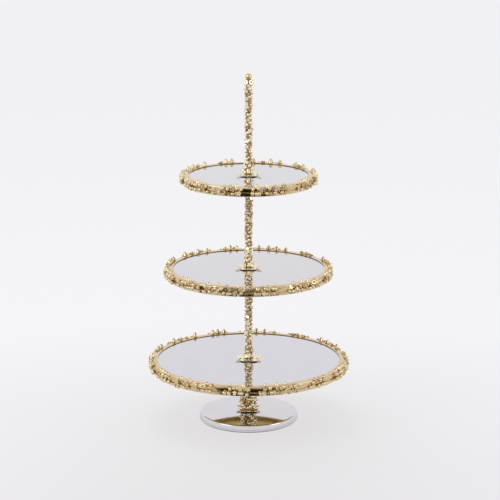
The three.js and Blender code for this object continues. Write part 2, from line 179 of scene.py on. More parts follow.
def spread(
    tree: bpy.types.NodeTree, value: bpy.types.NodeSocket, low: float, high: float
) -> bpy.types.NodeSocket:
    """Stretch the middle of a noise value over a range.

    Args:
        tree: The material's node tree.
        value: A noise value, mostly between 0.3 and 0.7.
        low: The result at 0.3.
        high: The result at 0.7.

    Returns:
        The value in its new range.
    """
    settings = {"From Min": 0.3, "From Max": 0.7, "To Min": low, "To Max": high}
    return add_node(tree, "ShaderNodeMapRange", settings, {"Value": value}).outputs[0]


def blend_colours(
    tree: bpy.types.NodeTree, share: bpy.types.NodeSocket, first: str, second: str
) -> bpy.types.NodeSocket:
    """Fade between two hex colours.

    Args:
        tree: The material's node tree.
        share: 0 gives the first colour and 1 the second.
        first: sRGB hex colour.
        second: sRGB hex colour.

    Returns:
        The mixed colour.
    """
    stops = add_node(tree, "ShaderNodeValToRGB", links={"Fac": share})
    stops.color_ramp.elements[0].color = linear(first)
    stops.color_ramp.elements[1].color = linear(second)
    return stops.outputs["Color"]


def raised(
    tree: bpy.types.NodeTree, height: bpy.types.NodeSocket, distance: float, strength: float
) -> bpy.types.NodeSocket:
    """Bump from a height value.

    Args:
        tree: The material's node tree.
        height: The height pattern.
        distance: Height of the relief in metres.
        strength: Share of the relief that shows.

    Returns:
        The bumped normal.
    """
    settings = {"Strength": strength, "Distance": distance}
    return add_node(tree, "ShaderNodeBump", settings, {"Height": height}).outputs["Normal"]


@dataclass(frozen=True)
class GoldPlate(Finish):
    """Pale gold plate over polished brass: a warm mirror, yellower and duller in soft patches.

    Attributes:
        bright: Colour of well polished plate.
        deep: Colour of the yellower patches.
        gloss: Lowest and highest roughness.
        patch: Size of the tint patches.
        ripple: Size of the ripples that spinning or casting leaves.
        relief: Height of the ripples.
    """

    bright: str = "#E2CCA8"
    deep: str = "#D2B88C"
    gloss: tuple[float, float] = (0.04, 0.12)
    patch: float = 14 * MM
    ripple: float = 5 * MM
    relief: float = 0.03 * MM

    def shade(self, tree: bpy.types.NodeTree, place: bpy.types.NodeSocket) -> bpy.types.Node:
        """Tint patches, uneven polish and a slight ripple on a metal shader.

        Args:
            tree: The material's node tree.
            place: Object coordinates, in metres.

        Returns:
            The shader node.
        """
        tint = spread(tree, noise(tree, place, self.patch), 0, 1)
        polish = spread(tree, noise(tree, place, self.patch / 4, 5), *self.gloss)
        ripple = noise(tree, place, self.ripple, 2)
        links = {
            "Base Color": blend_colours(tree, tint, self.bright, self.deep),
            "Roughness": polish,
            "Normal": raised(tree, ripple, self.relief, 0.6),
        }
        return add_node(tree, "ShaderNodeBsdfPrincipled", {"Metallic": 1.0}, links)


@dataclass(frozen=True)
class SilveredGlass(Finish):
    """Float glass silvered on the back: a clean cool mirror, with faint wipe marks in its polish.

    Attributes:
        silver: Colour of the reflection.
        wiped: Colour where a faint film is left.
        film: Length of a wipe mark.
    """

    silver: str = "#DDDBE0"
    wiped: str = "#D9D7DC"
    film: float = 45 * MM

    def shade(self, tree: bpy.types.NodeTree, place: bpy.types.NodeSocket) -> bpy.types.Node:
        """Long soft wipe marks in colour and gloss.

        Args:
            tree: The material's node tree.
            place: Object coordinates, in metres.

        Returns:
            The shader node.
        """
        stretched = add_node(tree, "ShaderNodeMapping", {"Scale": (1.0, 0.3, 1.0)}, {"Vector": place})
        marks = noise(tree, stretched.outputs[0], self.film, 4)
        links = {
            "Base Color": blend_colours(tree, spread(tree, marks, 0, 1), self.silver, self.wiped),
            "Roughness": spread(tree, marks, 0.006, 0.03),
        }
        return add_node(tree, "ShaderNodeBsdfPrincipled", {"Metallic": 1.0}, links)


@dataclass(frozen=True)
class ChromePlate(Finish):
    """Bright chrome plate over turned and buffed steel: a neutral mirror with rings too fine to count.

    Attributes:
        chrome: Colour of the plate.
        hazed: Colour of the slight haze that fingers leave.
        patch: Size of the hazed patches.
        step_height: Height of a ring.
        lathe_step: Spacing of the buffing rings, drawn coarser than the real 0.1 mm so that it shows.
    """

    chrome: str = "#DEDBDF"
    hazed: str = "#D8D5D8"
    patch: float = 22 * MM
    step_height: float = 0.0006 * MM
    lathe_step: float = 0.9 * MM

    def shade(self, tree: bpy.types.NodeTree, place: bpy.types.NodeSocket) -> bpy.types.Node:
        """Buffing rings about the axis, and haze, on a metal shader.

        Args:
            tree: The material's node tree.
            place: Object coordinates, in metres.

        Returns:
            The shader node.
        """
        haze = noise(tree, place, self.patch, 4)
        scale = 0.05 / self.lathe_step
        rings_settings = {"wave_type": "RINGS", "rings_direction": "Z", "Scale": scale}
        rings = add_node(tree, "ShaderNodeTexWave", rings_settings, {"Vector": place})
        links = {
            "Base Color": blend_colours(tree, spread(tree, haze, 0, 1), self.chrome, self.hazed),
            "Roughness": spread(tree, haze, 0.02, 0.06),
            "Normal": raised(tree, rings.outputs["Fac"], self.step_height, 0.4),
        }
        return add_node(tree, "ShaderNodeBsdfPrincipled", {"Metallic": 1.0}, links)


@dataclass(frozen=True)
class ZincPlate(Finish):
    """Bright zinc plate on machined steel: grey, satin and a little spangled.

    Attributes:
        light: Colour at a crystal's middle.
        dark: Colour at its edge.
        crystal: Size of a crystal.
        relief: Height of a crystal.
    """

    light: str = "#B4B6B8"
    dark: str = "#8C9094"
    crystal: float = 1.2 * MM
    relief: float = 0.01 * MM

    def shade(self, tree: bpy.types.NodeTree, place: bpy.types.NodeSocket) -> bpy.types.Node:
        """Small crystals in colour and gloss.

        Args:
            tree: The material's node tree.
            place: Object coordinates, in metres.

        Returns:
            The shader node.
        """
        cells = add_node(tree, "ShaderNodeTexVoronoi", {"Scale": 1 / self.crystal}, {"Vector": place})
        crystals = cells.outputs["Distance"]
        links = {
            "Base Color": blend_colours(tree, crystals, self.light, self.dark),
            "Roughness": spread(tree, crystals, 0.28, 0.45),
            "Normal": raised(tree, crystals, self.relief, 0.5),
        }
        return add_node(tree, "ShaderNodeBsdfPrincipled", {"Metallic": 1.0}, links)


@dataclass(frozen=True)
class Fibres(Finish):
    """Pressed fibres: felt, or the bare face of hardboard.

    Attributes:
        light: Colour of the fibres on top.
        dark: Colour between them.
        length: Length of a fibre, drawn a little coarse so that it shows.
        lift: How far the fibres stand up.
        sheen: Weight of the soft edge light that loose fibres give.
    """

    light: str = "#3A3A3E"
    dark: str = "#1D1D20"
    length: float = 1.5 * MM
    lift: float = 0.2 * MM
    sheen: float = 0.4

    def shade(self, tree: bpy.types.NodeTree, place: bpy.types.NodeSocket) -> bpy.types.Node:
        """Matted fibres in colour and height, with no gloss.

        Args:
            tree: The material's node tree.
            place: Object coordinates, in metres.

        Returns:
            The shader node.
        """
        mat = noise(tree, place, self.length, 6)
        links = {
            "Base Color": blend_colours(tree, spread(tree, mat, 0, 1), self.dark, self.light),
            "Roughness": spread(tree, mat, 0.85, 1.0),
            "Normal": raised(tree, mat, self.lift, 0.8),
        }
        settings = {"Sheen Weight": self.sheen, "Sheen Roughness": 0.5}
        return add_node(tree, "ShaderNodeBsdfPrincipled", settings, links)


@dataclass(frozen=True)
class MouldedNylon(Finish):
    """Natural nylon as it leaves the mould: milky, waxy and slightly see-through at its edges.

    Attributes:
        milky: Colour of most of it.
        waxy: Colour of the thicker clouds.
        cloud: Size of a cloud.
        grain: Size of the mould's grain.
        relief: Height of the grain.
    """

    milky: str = "#E6E1D5"
    waxy: str = "#D9D3C4"
    cloud: float = 4 * MM
    grain: float = 0.4 * MM
    relief: float = 0.02 * MM

    def shade(self, tree: bpy.types.NodeTree, place: bpy.types.NodeSocket) -> bpy.types.Node:
        """Cloudy colour and a fine moulded grain.

        Args:
            tree: The material's node tree.
            place: Object coordinates, in metres.

        Returns:
            The shader node.
        """
        cloud = noise(tree, place, self.cloud)
        grain = noise(tree, place, self.grain, 2)
        links = {
            "Base Color": blend_colours(tree, spread(tree, cloud, 0, 1), self.milky, self.waxy),
            "Roughness": spread(tree, grain, 0.38, 0.52),
            "Normal": raised(tree, grain, self.relief, 0.4),
        }
        settings = {"IOR": 1.53, "Subsurface Weight": 0.15, "Subsurface Scale": 1.0 * MM}
        return add_node(tree, "ShaderNodeBsdfPrincipled", settings, links)


@dataclass(frozen=True)
class PaintedGlowSweep(Finish):
    """Sweep whose glow is painted light in place of a lamp, so even and nearly shadowless; the glow is
    painted a little dimmer near the stand, as fall-off of light.

    Attributes:
        white: Colour far out.
        dim: Colour near the stand, the painted fall-off of light.
        reach: Distance over which one fades into the other.
        dimmest: How far in front of the stand the dimmest place of the painted fall-off lies.
        glow: Strength of the painted glow.
        body: Grey of the sheet itself, which takes the shadows.
        cloud: Size of the faint clouds in its gloss.
    """

    white: str = "#F5F5F8"
    dim: str = "#E2E0E2"
    reach: float = 1.0
    dimmest: float = 0.45
    glow: float = 0.8
    body: float = 0.17
    cloud: float = 60 * MM

    def shade(self, tree: bpy.types.NodeTree, place: bpy.types.NodeSocket) -> bpy.types.Node:
        """A painted glow that brightens outwards, as painted fall-off of light, over a matt sheet with a
        faint cloudiness.

        Args:
            tree: The material's node tree.
            place: Object coordinates, in metres.

        Returns:
            The shader node.
        """
        middle = add_node(tree, "ShaderNodeMapping", {"Location": (0, self.dimmest, 0)}, {"Vector": place})
        away = add_node(tree, "ShaderNodeVectorMath", {"operation": "LENGTH"}, {0: middle.outputs[0]})
        distance = {"Value": away.outputs["Value"]}
        far = add_node(tree, "ShaderNodeMapRange", {"From Max": self.reach}, distance)
        cloud = noise(tree, place, self.cloud)
        # The emission colour is painted fall-off of light: dimmer near the stand and dimmest a little in
        # front of it.
        links = {
            "Emission Color": blend_colours(tree, far.outputs[0], self.dim, self.white),
            "Roughness": spread(tree, cloud, 0.88, 0.96),
        }
        grey = (self.body, self.body, self.body, 1)
        settings = {"Base Color": grey, "Specular IOR Level": 0.05, "Emission Strength": self.glow}
        return add_node(tree, "ShaderNodeBsdfPrincipled", settings, links)


@dataclass(frozen=True)
class BlackCloth(Finish):
    """Black velvet of a studio flag, which gives back almost no light.

    Attributes:
        pile: Colour of upright pile.
        nap: Colour where the pile is brushed over.
        brushed: Size of a brushed patch.
    """

    pile: str = "#1A1613"
    nap: str = "#2A2420"
    brushed: float = 80 * MM

    def shade(self, tree: bpy.types.NodeTree, place: bpy.types.NodeSocket) -> bpy.types.Node:
        """Brushed patches of pile on a matt shader.

        Args:
            tree: The material's node tree.
            place: Object coordinates, in metres.

        Returns:
            The shader node.
        """
        brushed = spread(tree, noise(tree, place, self.brushed), 0, 1)
        links = {"Base Color": blend_colours(tree, brushed, self.pile, self.nap)}
        settings = {"Roughness": 1.0, "Specular IOR Level": 0.0}
        return add_node(tree, "ShaderNodeBsdfPrincipled", settings, links)


# Rims: brass sheet spun to shape, polished and gold plated, so nearly a mirror.
GOLD_SHEET = GoldPlate("gold_plated_spun_sheet")
# Undersides: brass sheet under clear lacquer, yellower and softer.
GOLD_UNDER = GoldPlate("lacquered_brass_sheet", bright="#C4AA58", deep="#AE944A", gloss=(0.2, 0.32))
# The lip's inner edge: a thin brown line of painted shade round each mirror.
LIP_SHADE_LINE = GoldPlate(
    "painted_shade_lip_line",
    bright="#8C7A54",
    deep="#6E5E40",
    gloss=(0.3, 0.45),
    patch=6 * MM,
    ripple=1.2 * MM,
)
# Stem blossoms: cast brass, tumbled and plated pale, lightened further as painted light against the shade
# between the trays, with the slight waves that casting leaves.
GOLD_CAST_LIGHTENED = GoldPlate(
    "gold_casting_painted_light",
    bright="#FAF2DE",
    deep="#EAD9B4",
    gloss=(0.1, 0.24),
    patch=7 * MM,
    ripple=1.6 * MM,
    relief=0.07 * MM,
)
# Rim blossoms: the same castings in a deeper gold, without the stems' painted lightening.
GOLD_TRIM = GoldPlate(
    "gold_plated_rim_casting",
    bright="#ECDBB8",
    deep="#D2BA88",
    gloss=(0.1, 0.22),
    patch=7 * MM,
    ripple=1.6 * MM,
    relief=0.07 * MM,
)
# The ball: turned, buffed and plated, with a clear highlight.
GOLD_ROD = GoldPlate(
    "gold_plated_turned_rod",
    bright="#EAD9B2",
    deep="#D8BE8C",
    gloss=(0.05, 0.12),
    patch=10 * MM,
    ripple=3 * MM,
)
# Rods and core under the blossoms: darker brass, as painted shade that shows in the gaps between them.
GOLD_SHADE_CORE = GoldPlate(
    "painted_shade_brass_core",
    bright="#C2A878",
    deep="#9E8356",
    gloss=(0.22, 0.36),
    patch=5 * MM,
    ripple=2 * MM,
)
# Tray floors: float glass silvered on its back, so a clear cool reflection.
MIRROR = SilveredGlass("silvered_float_glass")
# Foot: turned steel, buffed and chromed, so a neutral reflection with bright edges.
CHROME = ChromePlate("chrome_plated_steel")
# Studs, bushes and screw: machined steel with bright zinc, so a grey satin look.
ZINC = ZincPlate("zinc_plated_steel")
# Pad under the foot: needled wool felt, so black with no gloss.
FELT = Fibres("pressed_black_felt")
# Boards inside the trays: pressed wood fibre, so brown, smooth and matt.
HARDBOARD = Fibres(
    "bare_hardboard",
    light="#8A6543",
    dark="#5E4128",
    length=2.5 * MM,
    lift=0.05 * MM,
    sheen=0.0,
)
# Washers: injection-moulded nylon, so milky with a waxy edge.
NYLON = MouldedNylon("moulded_natural_nylon")
# Studio floor: a sheet whose glow is painted light in place of a lamp, so pale and nearly shadowless, and
# painted dimmer near the stand as fall-off of light.
SWEEP = PaintedGlowSweep("painted_glow_sweep")
# Flags: woven cotton velvet, so nearly black.
VELVET = BlackCloth("black_velvet_flag")


# ---- pieces and shapes ----


@dataclass
class Piece:
    """Facts about one visible piece.

    Attributes:
        name: The piece's name.
        body: The CAD body that it moves with.
        slot: The record's material slot; not used.
        stands_for: The CAD nodes that it is shown in place of.
    """

    name: str
    body: str
    slot: str
    stands_for: tuple[str, ...]

    def show(self, shape: bmesh.types.BMesh, *finishes: Finish, rounds: int = 0) -> bpy.types.Object:
        """Turn a finished shape into an object that rides on its body.

        Args:
            shape: The shape, in the frame's coordinates. It is freed.
            finishes: The surface finishes, in the order of the faces' material numbers.
            rounds: Levels of subdivision, for a shape with few faces.

        Returns:
            The new object.
        """
        bmesh.ops.recalc_face_normals(shape, faces=shape.faces)
        mesh = bpy.data.meshes.new(self.name)
        shape.to_mesh(mesh)
        shape.free()
        mesh.shade_smooth()
        mesh.set_sharp_from_angle(angle=SHARP_ANGLE)
        for finish in finishes:
            mesh.materials.append(finish.material())
        made = bpy.data.objects.new(self.name, mesh)
        bpy.context.scene.collection.objects.link(made)
        if rounds:
            rounded = made.modifiers.new("rounded", "SUBSURF")
            rounded.levels = rounds
            rounded.render_levels = rounds
        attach(made, self.body)
        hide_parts(*self.stands_for)
        LOG.info("%s: %d faces on %s", self.name, len(mesh.polygons), self.body)
        return made


@dataclass(frozen=True)
class Corner:
    """One corner of a turned profile.

    Attributes:
        radius: Distance from the axis.
        height: Height above the table.
        round: Radius of its rounding, or 0 to leave it as it is.
    """

    radius: float
    height: float
    round: float = 0.0

    def point(self) -> Vector:
        """The corner in the XZ plane."""
        return Vector((self.radius, 0, self.height))


@dataclass
class Turning:
    """A shape turned about the Z axis from a profile of corners.

    Attributes:
        corners: The profile, in order.
        closed: Whether the last corner joins the first.
        steps: Sides round the axis.
        segments: Faces across each rounding.
        hold: How far from a corner the flat face is held, in roundings.
        short_of_middle: The most of an edge that may be held from one end.
        reach: How near a vertex must be to belong to a corner's ring.
    """

    corners: Sequence[Corner]
    closed: bool = True
    steps: int = 96
    segments: int = 3
    hold: float = 1.5
    short_of_middle: float = 0.49
    reach: float = 0.02 * MM

    def shape(self) -> bmesh.types.BMesh:
        """Spin the profile, then round its corners.

        Returns:
            The finished shape.
        """
        made = bmesh.new()
        verts = [made.verts.new(point) for point in self._points()]
        pairs = list(zip(verts, verts[1:]))
        if self.closed:
            pairs.append((verts[-1], verts[0]))
        edges = [made.edges.new(pair) for pair in pairs]
        bmesh.ops.spin(
            made,
            geom=verts + edges,
            cent=(0, 0, 0),
            axis=UP,
            angle=FULL_TURN,
            steps=self.steps,
            use_merge=True,
        )
        bmesh.ops.remove_doubles(made, verts=made.verts, dist=MERGE_DISTANCE)
        bmesh.ops.recalc_face_normals(made, faces=made.faces)
        for corner in self.corners:
            if corner.round:
                self._round(made, corner)
        return made

    def _points(self) -> list[Vector]:
        """Corners, with a point held just past each rounding so that flat faces keep flat shading.

        Returns:
            The points in the XZ plane, in order.
        """
        count = len(self.corners)
        points = []
        for index, corner in enumerate(self.corners):
            here = corner.point()
            if corner.round:
                before = self.corners[(index - 1) % count].point()
                points.append(self._held(here, before, corner.round))
                points.append(here)
                after = self.corners[(index + 1) % count].point()
                points.append(self._held(here, after, corner.round))
            else:
                points.append(here)
        return points

    def _held(self, here: Vector, towards: Vector, rounding: float) -> Vector:
        """The point a little further from a corner than its rounding reaches, but short of the middle."""
        way = towards - here
        return here + way.normalized() * min(self.hold * rounding, self.short_of_middle * way.length)

    def _round(self, made: bmesh.types.BMesh, corner: Corner) -> None:
        """Bevel the ring of edges that a corner became.

        Args:
            made: The turned shape.
            corner: The corner that the ring came from.
        """
        near = {
            v
            for v in made.verts
            if abs(math.hypot(v.co.x, v.co.y) - corner.radius) < self.reach
            and abs(v.co.z - corner.height) < self.reach
        }
        ring = [e for e in made.edges if e.verts[0] in near and e.verts[1] in near]
        bmesh.ops.bevel(
            made,
            geom=ring,
            offset=corner.round,
            affect="EDGES",
            segments=self.segments,
            profile=0.5,
            material=-1,
            clamp_overlap=True,
        )


def flat_ring(node: str, hole: float, edge: float, steps: int, segments: int = 3) -> bmesh.types.BMesh:
    """A flat ring with eased outer edges, as thick and as large as its node.

    Args:
        node: The CAD node that gives its heights and radius.
        hole: Radius of the hole.
        edge: Radius of the eased edges.
        steps: Sides round the axis.
        segments: Faces across each eased edge.

    Returns:
        The finished shape.
    """
    low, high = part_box(node)
    corners = [
        Corner(hole, low.z),
        Corner(high.x, low.z, edge),
        Corner(high.x, high.z, edge),
        Corner(hole, high.z),
    ]
    return Turning(corners, steps=steps, segments=segments).shape()


def wire_along(
    target: bmesh.types.BMesh,
    radius: float,
    thickness: float,
    low: float,
    rise: float,
    start: float,
    sweep: float,
    steps: int,
) -> list[bmesh.types.BMVert]:
    """Add a round wire that runs about the Z axis, level or climbing.

    Args:
        target: The shape to add to.
        radius: Distance of the wire's middle from the axis.
        thickness: The wire's radius.
        low: Height where it starts.
        rise: How far it climbs in all.
        start: Angle where it starts.
        sweep: Angle that it runs through.
        steps: Pieces along it.

    Returns:
        The wire's vertices.
    """
    before = len(target.verts)
    upright = Matrix.Rotation(start, 4, "Z") @ Matrix.Translation((radius, 0, low))
    place = upright @ Matrix.Rotation(math.pi / 2, 4, "X")
    end = bmesh.ops.create_circle(target, cap_ends=True, radius=thickness, segments=WIRE_SIDES, matrix=place)
    faces = list({face for vert in end["verts"] for face in vert.link_faces})
    edges = list({edge for vert in end["verts"] for edge in vert.link_edges})
    bmesh.ops.spin(
        target,
        geom=end["verts"] + edges + faces,
        cent=(0, 0, 0),
        axis=UP,
        angle=sweep,
        dvec=(0, 0, rise / steps),
        steps=steps,
    )
    target.verts.ensure_lookup_table()
    return target.verts[before:]


# ---- blossoms ----


class Blossom(Enum):
    """The small castings that dress the rims and stems."""

    DAISY = "daisy"
    BERRY = "berry"
    CUP = "cup"
    LEAF = "leaf"
    BUD = "bud"


# How often each casting comes, on the rims' upper edges, on their walls and up the stems.
UPPER_MIX = {Blossom.BUD: 6, Blossom.BERRY: 2, Blossom.DAISY: 2}
WALL_MIX = {Blossom.DAISY: 3, Blossom.BERRY: 7, Blossom.CUP: 3, Blossom.LEAF: 1}
STEM_MIX = {Blossom.DAISY: 3, Blossom.BERRY: 7, Blossom.CUP: 2, Blossom.LEAF: 2, Blossom.BUD: 2}


def pick(draw: random.Random, mix: dict[Blossom, int]) -> Blossom:
    """Draw one kind of casting.

    Args:
        draw: The source of chance.
        mix: How often each kind comes.

    Returns:
        The kind.
    """
    return draw.choices(list(mix), weights=list(mix.values()))[0]


def any_angle(draw: random.Random) -> float:
    """Draw an angle from the whole turn."""
    return draw.uniform(0, FULL_TURN)


def tilt_from(draw: random.Random, away: Vector, up: tuple[float, float], aside: float = 0.4) -> Vector:
    """Draw a small tilt for a casting that faces away from the axis.

    Args:
        draw: The source of chance.
        away: The way that it faces.
        up: Least and most that it tilts up.
        aside: Most that it tilts to either side.

    Returns:
        The tilt, to be added to the way that it faces.
    """
    return UP * draw.uniform(*up) + away.cross(UP) * draw.uniform(-aside, aside)


def ramp(value: float, start: float, end: float) -> float:
    """Climb straight from 0 at the start to 1 at the end, and stay level outside."""
    return min(1.0, max(0.0, (value - start) / (end - start)))


@dataclass
class BlossomKit:
    """The castings, each made once and copied wherever it is soldered on.

    Each one's back is at the origin and it opens along +Z.

    Attributes:
        reach: Radius of a full-size blossom.
        sheet: Thickness of a petal.
        patterns: The finished patterns, by kind.
    """

    reach: float = 3.0 * MM
    sheet: float = 0.6 * MM
    patterns: dict[Blossom, bpy.types.Mesh] = field(default_factory=dict)

    def __post_init__(self) -> None:
        """Make one pattern of each casting."""
        makers = {
            Blossom.DAISY: self._daisy,
            Blossom.BERRY: self._berry,
            Blossom.CUP: self._cup,
            Blossom.LEAF: self._leaf,
            Blossom.BUD: self._bud,
        }
        for kind, make in makers.items():
            shape = make()
            bmesh.ops.recalc_face_normals(shape, faces=shape.faces)
            pattern = bpy.data.meshes.new(f"pattern_{kind.value}")
            shape.to_mesh(pattern)
            shape.free()
            self.patterns[kind] = pattern

    def _bead(self, shape: bmesh.types.BMesh, radius: float, height: float) -> None:
        """Add a round bead on the axis."""
        place = Matrix.Translation((0, 0, height))
        bmesh.ops.create_icosphere(shape, subdivisions=1, radius=radius, matrix=place)

    def _stalk(self, shape: bmesh.types.BMesh) -> None:
        """Add the short peg that goes into the metal behind.

        Args:
            shape: The shape to add to.
        """
        length = 1.1 * self.reach
        bmesh.ops.create_cone(
            shape,
            cap_ends=True,
            segments=5,
            radius1=0.28 * self.reach,
            radius2=0.42 * self.reach,
            depth=length,
            matrix=Matrix.Translation((0, 0, 0.2 * self.reach - length / 2)),
        )

    def _daisy(self) -> bmesh.types.BMesh:
        """Five plump cupped petals round a bead.

        Returns:
            The casting.
        """
        shape = bmesh.new()
        petals, per_petal = 5, 3
        notch_out, tip_out = 0.62, 1.06
        notch_up, tip_up, heart_up = 0.34, 0.5, 0.3
        ring = bmesh.ops.create_circle(
            shape, cap_ends=True, radius=self.reach, segments=petals * per_petal
        )
        outer = ring["verts"]
        bmesh.ops.inset_region(shape, faces=shape.faces[:], thickness=0.5 * self.reach)
        for index, vert in enumerate(outer):
            notch = index % per_petal == 0
            vert.co *= notch_out if notch else tip_out
            vert.co.z = (notch_up if notch else tip_up) * self.reach
        for vert in set(shape.verts) - set(outer):
            vert.co.z = heart_up * self.reach
        bmesh.ops.solidify(shape, geom=shape.faces[:], thickness=self.sheet)
        self._bead(shape, 0.34 * self.reach, 0.42 * self.reach)
        self._stalk(shape)
        return shape

    def _berry(self) -> bmesh.types.BMesh:
        """A pebble, flat at the back.

        Returns:
            The casting.
        """
        shape = bmesh.new()
        pebble = (0.98, 0.82, 0.68)
        bmesh.ops.create_uvsphere(shape, u_segments=8, v_segments=6, radius=self.reach)
        bmesh.ops.scale(shape, vec=pebble, verts=shape.verts)
        bmesh.ops.translate(shape, vec=(0, 0, 0.4 * self.reach), verts=shape.verts)
        self._stalk(shape)
        return shape

    def _cup(self) -> bmesh.types.BMesh:
        """A shallow round cup with a bead in it.

        Returns:
            The casting.
        """
        shape = bmesh.new()
        depth = 0.62 * self.reach
        lip, hollow = 0.26 * self.reach, 0.4 * self.reach
        bmesh.ops.create_cone(
            shape,
            cap_ends=True,
            segments=9,
            radius1=0.6 * self.reach,
            radius2=1.0 * self.reach,
            depth=depth,
            matrix=Matrix.Translation((0, 0, depth / 2)),
        )
        top = max(shape.faces, key=lambda face: face.calc_center_median().z)
        bmesh.ops.inset_region(shape, faces=[top], thickness=lip)
        bmesh.ops.inset_region(shape, faces=[top], thickness=0.1 * self.reach, depth=-hollow)
        self._bead(shape, 0.36 * self.reach, 0.4 * self.reach)
        self._stalk(shape)
        return shape

    def _leaf(self) -> bmesh.types.BMesh:
        """A pointed leaf folded along its rib, which springs from the origin along +Z and leans to +X.

        Returns:
            The casting.
        """
        shape = bmesh.new()
        length = 2.3 * self.reach
        half_width, sunk, lean, rib = 0.62, 0.12, 0.45, 0.35
        ring = bmesh.ops.create_circle(shape, cap_ends=True, radius=1.0, segments=8)
        for vert in ring["verts"]:
            along = (vert.co.x + 1) / 2
            across = vert.co.y * half_width * self.reach
            vert.co = Vector((lean * length * along**2, across, length * (along - sunk)))
        poked = bmesh.ops.poke(shape, faces=shape.faces[:])
        poked["verts"][0].co.x += rib * self.reach
        bmesh.ops.solidify(shape, geom=shape.faces[:], thickness=self.sheet)
        return shape

    def _bud(self) -> bmesh.types.BMesh:
        """A plump bud, broad at the foot and drawn to a blunt tip.

        Returns:
            The casting.
        """
        shape = bmesh.new()
        height = 0.95 * self.reach
        bmesh.ops.create_cone(
            shape,
            cap_ends=True,
            segments=7,
            radius1=0.98 * self.reach,
            radius2=0.72 * self.reach,
            depth=height,
            matrix=Matrix.Translation((0, 0, height / 2)),
        )
        top = max(shape.faces, key=lambda face: face.calc_center_median().z)
        bottom = min(shape.faces, key=lambda face: face.calc_center_median().z)
        bmesh.ops.inset_region(shape, faces=[bottom], thickness=0.5 * self.reach, depth=0.35 * self.reach)
        bmesh.ops.inset_region(shape, faces=[top], thickness=0.4 * self.reach, depth=0.62 * self.reach)
        poked = bmesh.ops.poke(shape, faces=[top])
        poked["verts"][0].co.z += 0.12 * self.reach
        return shape

    def place(
        self,
        target: bmesh.types.BMesh,
        kind: Blossom,
        point: Vector,
        facing: Vector,
        turn: float,
        size: float,
    ) -> None:
        """Copy a casting into a shape.

        Args:
            target: The shape to add to.
            kind: Which casting.
            point: Where its back goes.
            facing: The way that it opens.
            turn: Its turn about that way.
            size: Its size, where 1 is full size.
        """
        before = len(target.verts)
        target.from_mesh(self.patterns[kind])
        target.verts.ensure_lookup_table()
        aim = facing.to_track_quat("Z", "Y").to_matrix().to_4x4()
        spin = Matrix.Rotation(turn, 4, "Z")
        place = Matrix.Translation(point) @ aim @ spin @ Matrix.Diagonal((size, size, size, 1))
        bmesh.ops.transform(target, matrix=place, verts=target.verts[before:])

    def put_away(self) -> None:
        """Remove the patterns."""
        for pattern in self.patterns.values():
            bpy.data.meshes.remove(pattern)
        self.patterns.clear()


def outward(angle: float) -> Vector:
    """The level direction at an angle about the axis."""
    return Vector((math.cos(angle), math.sin(angle), 0))


# ---- trays ----


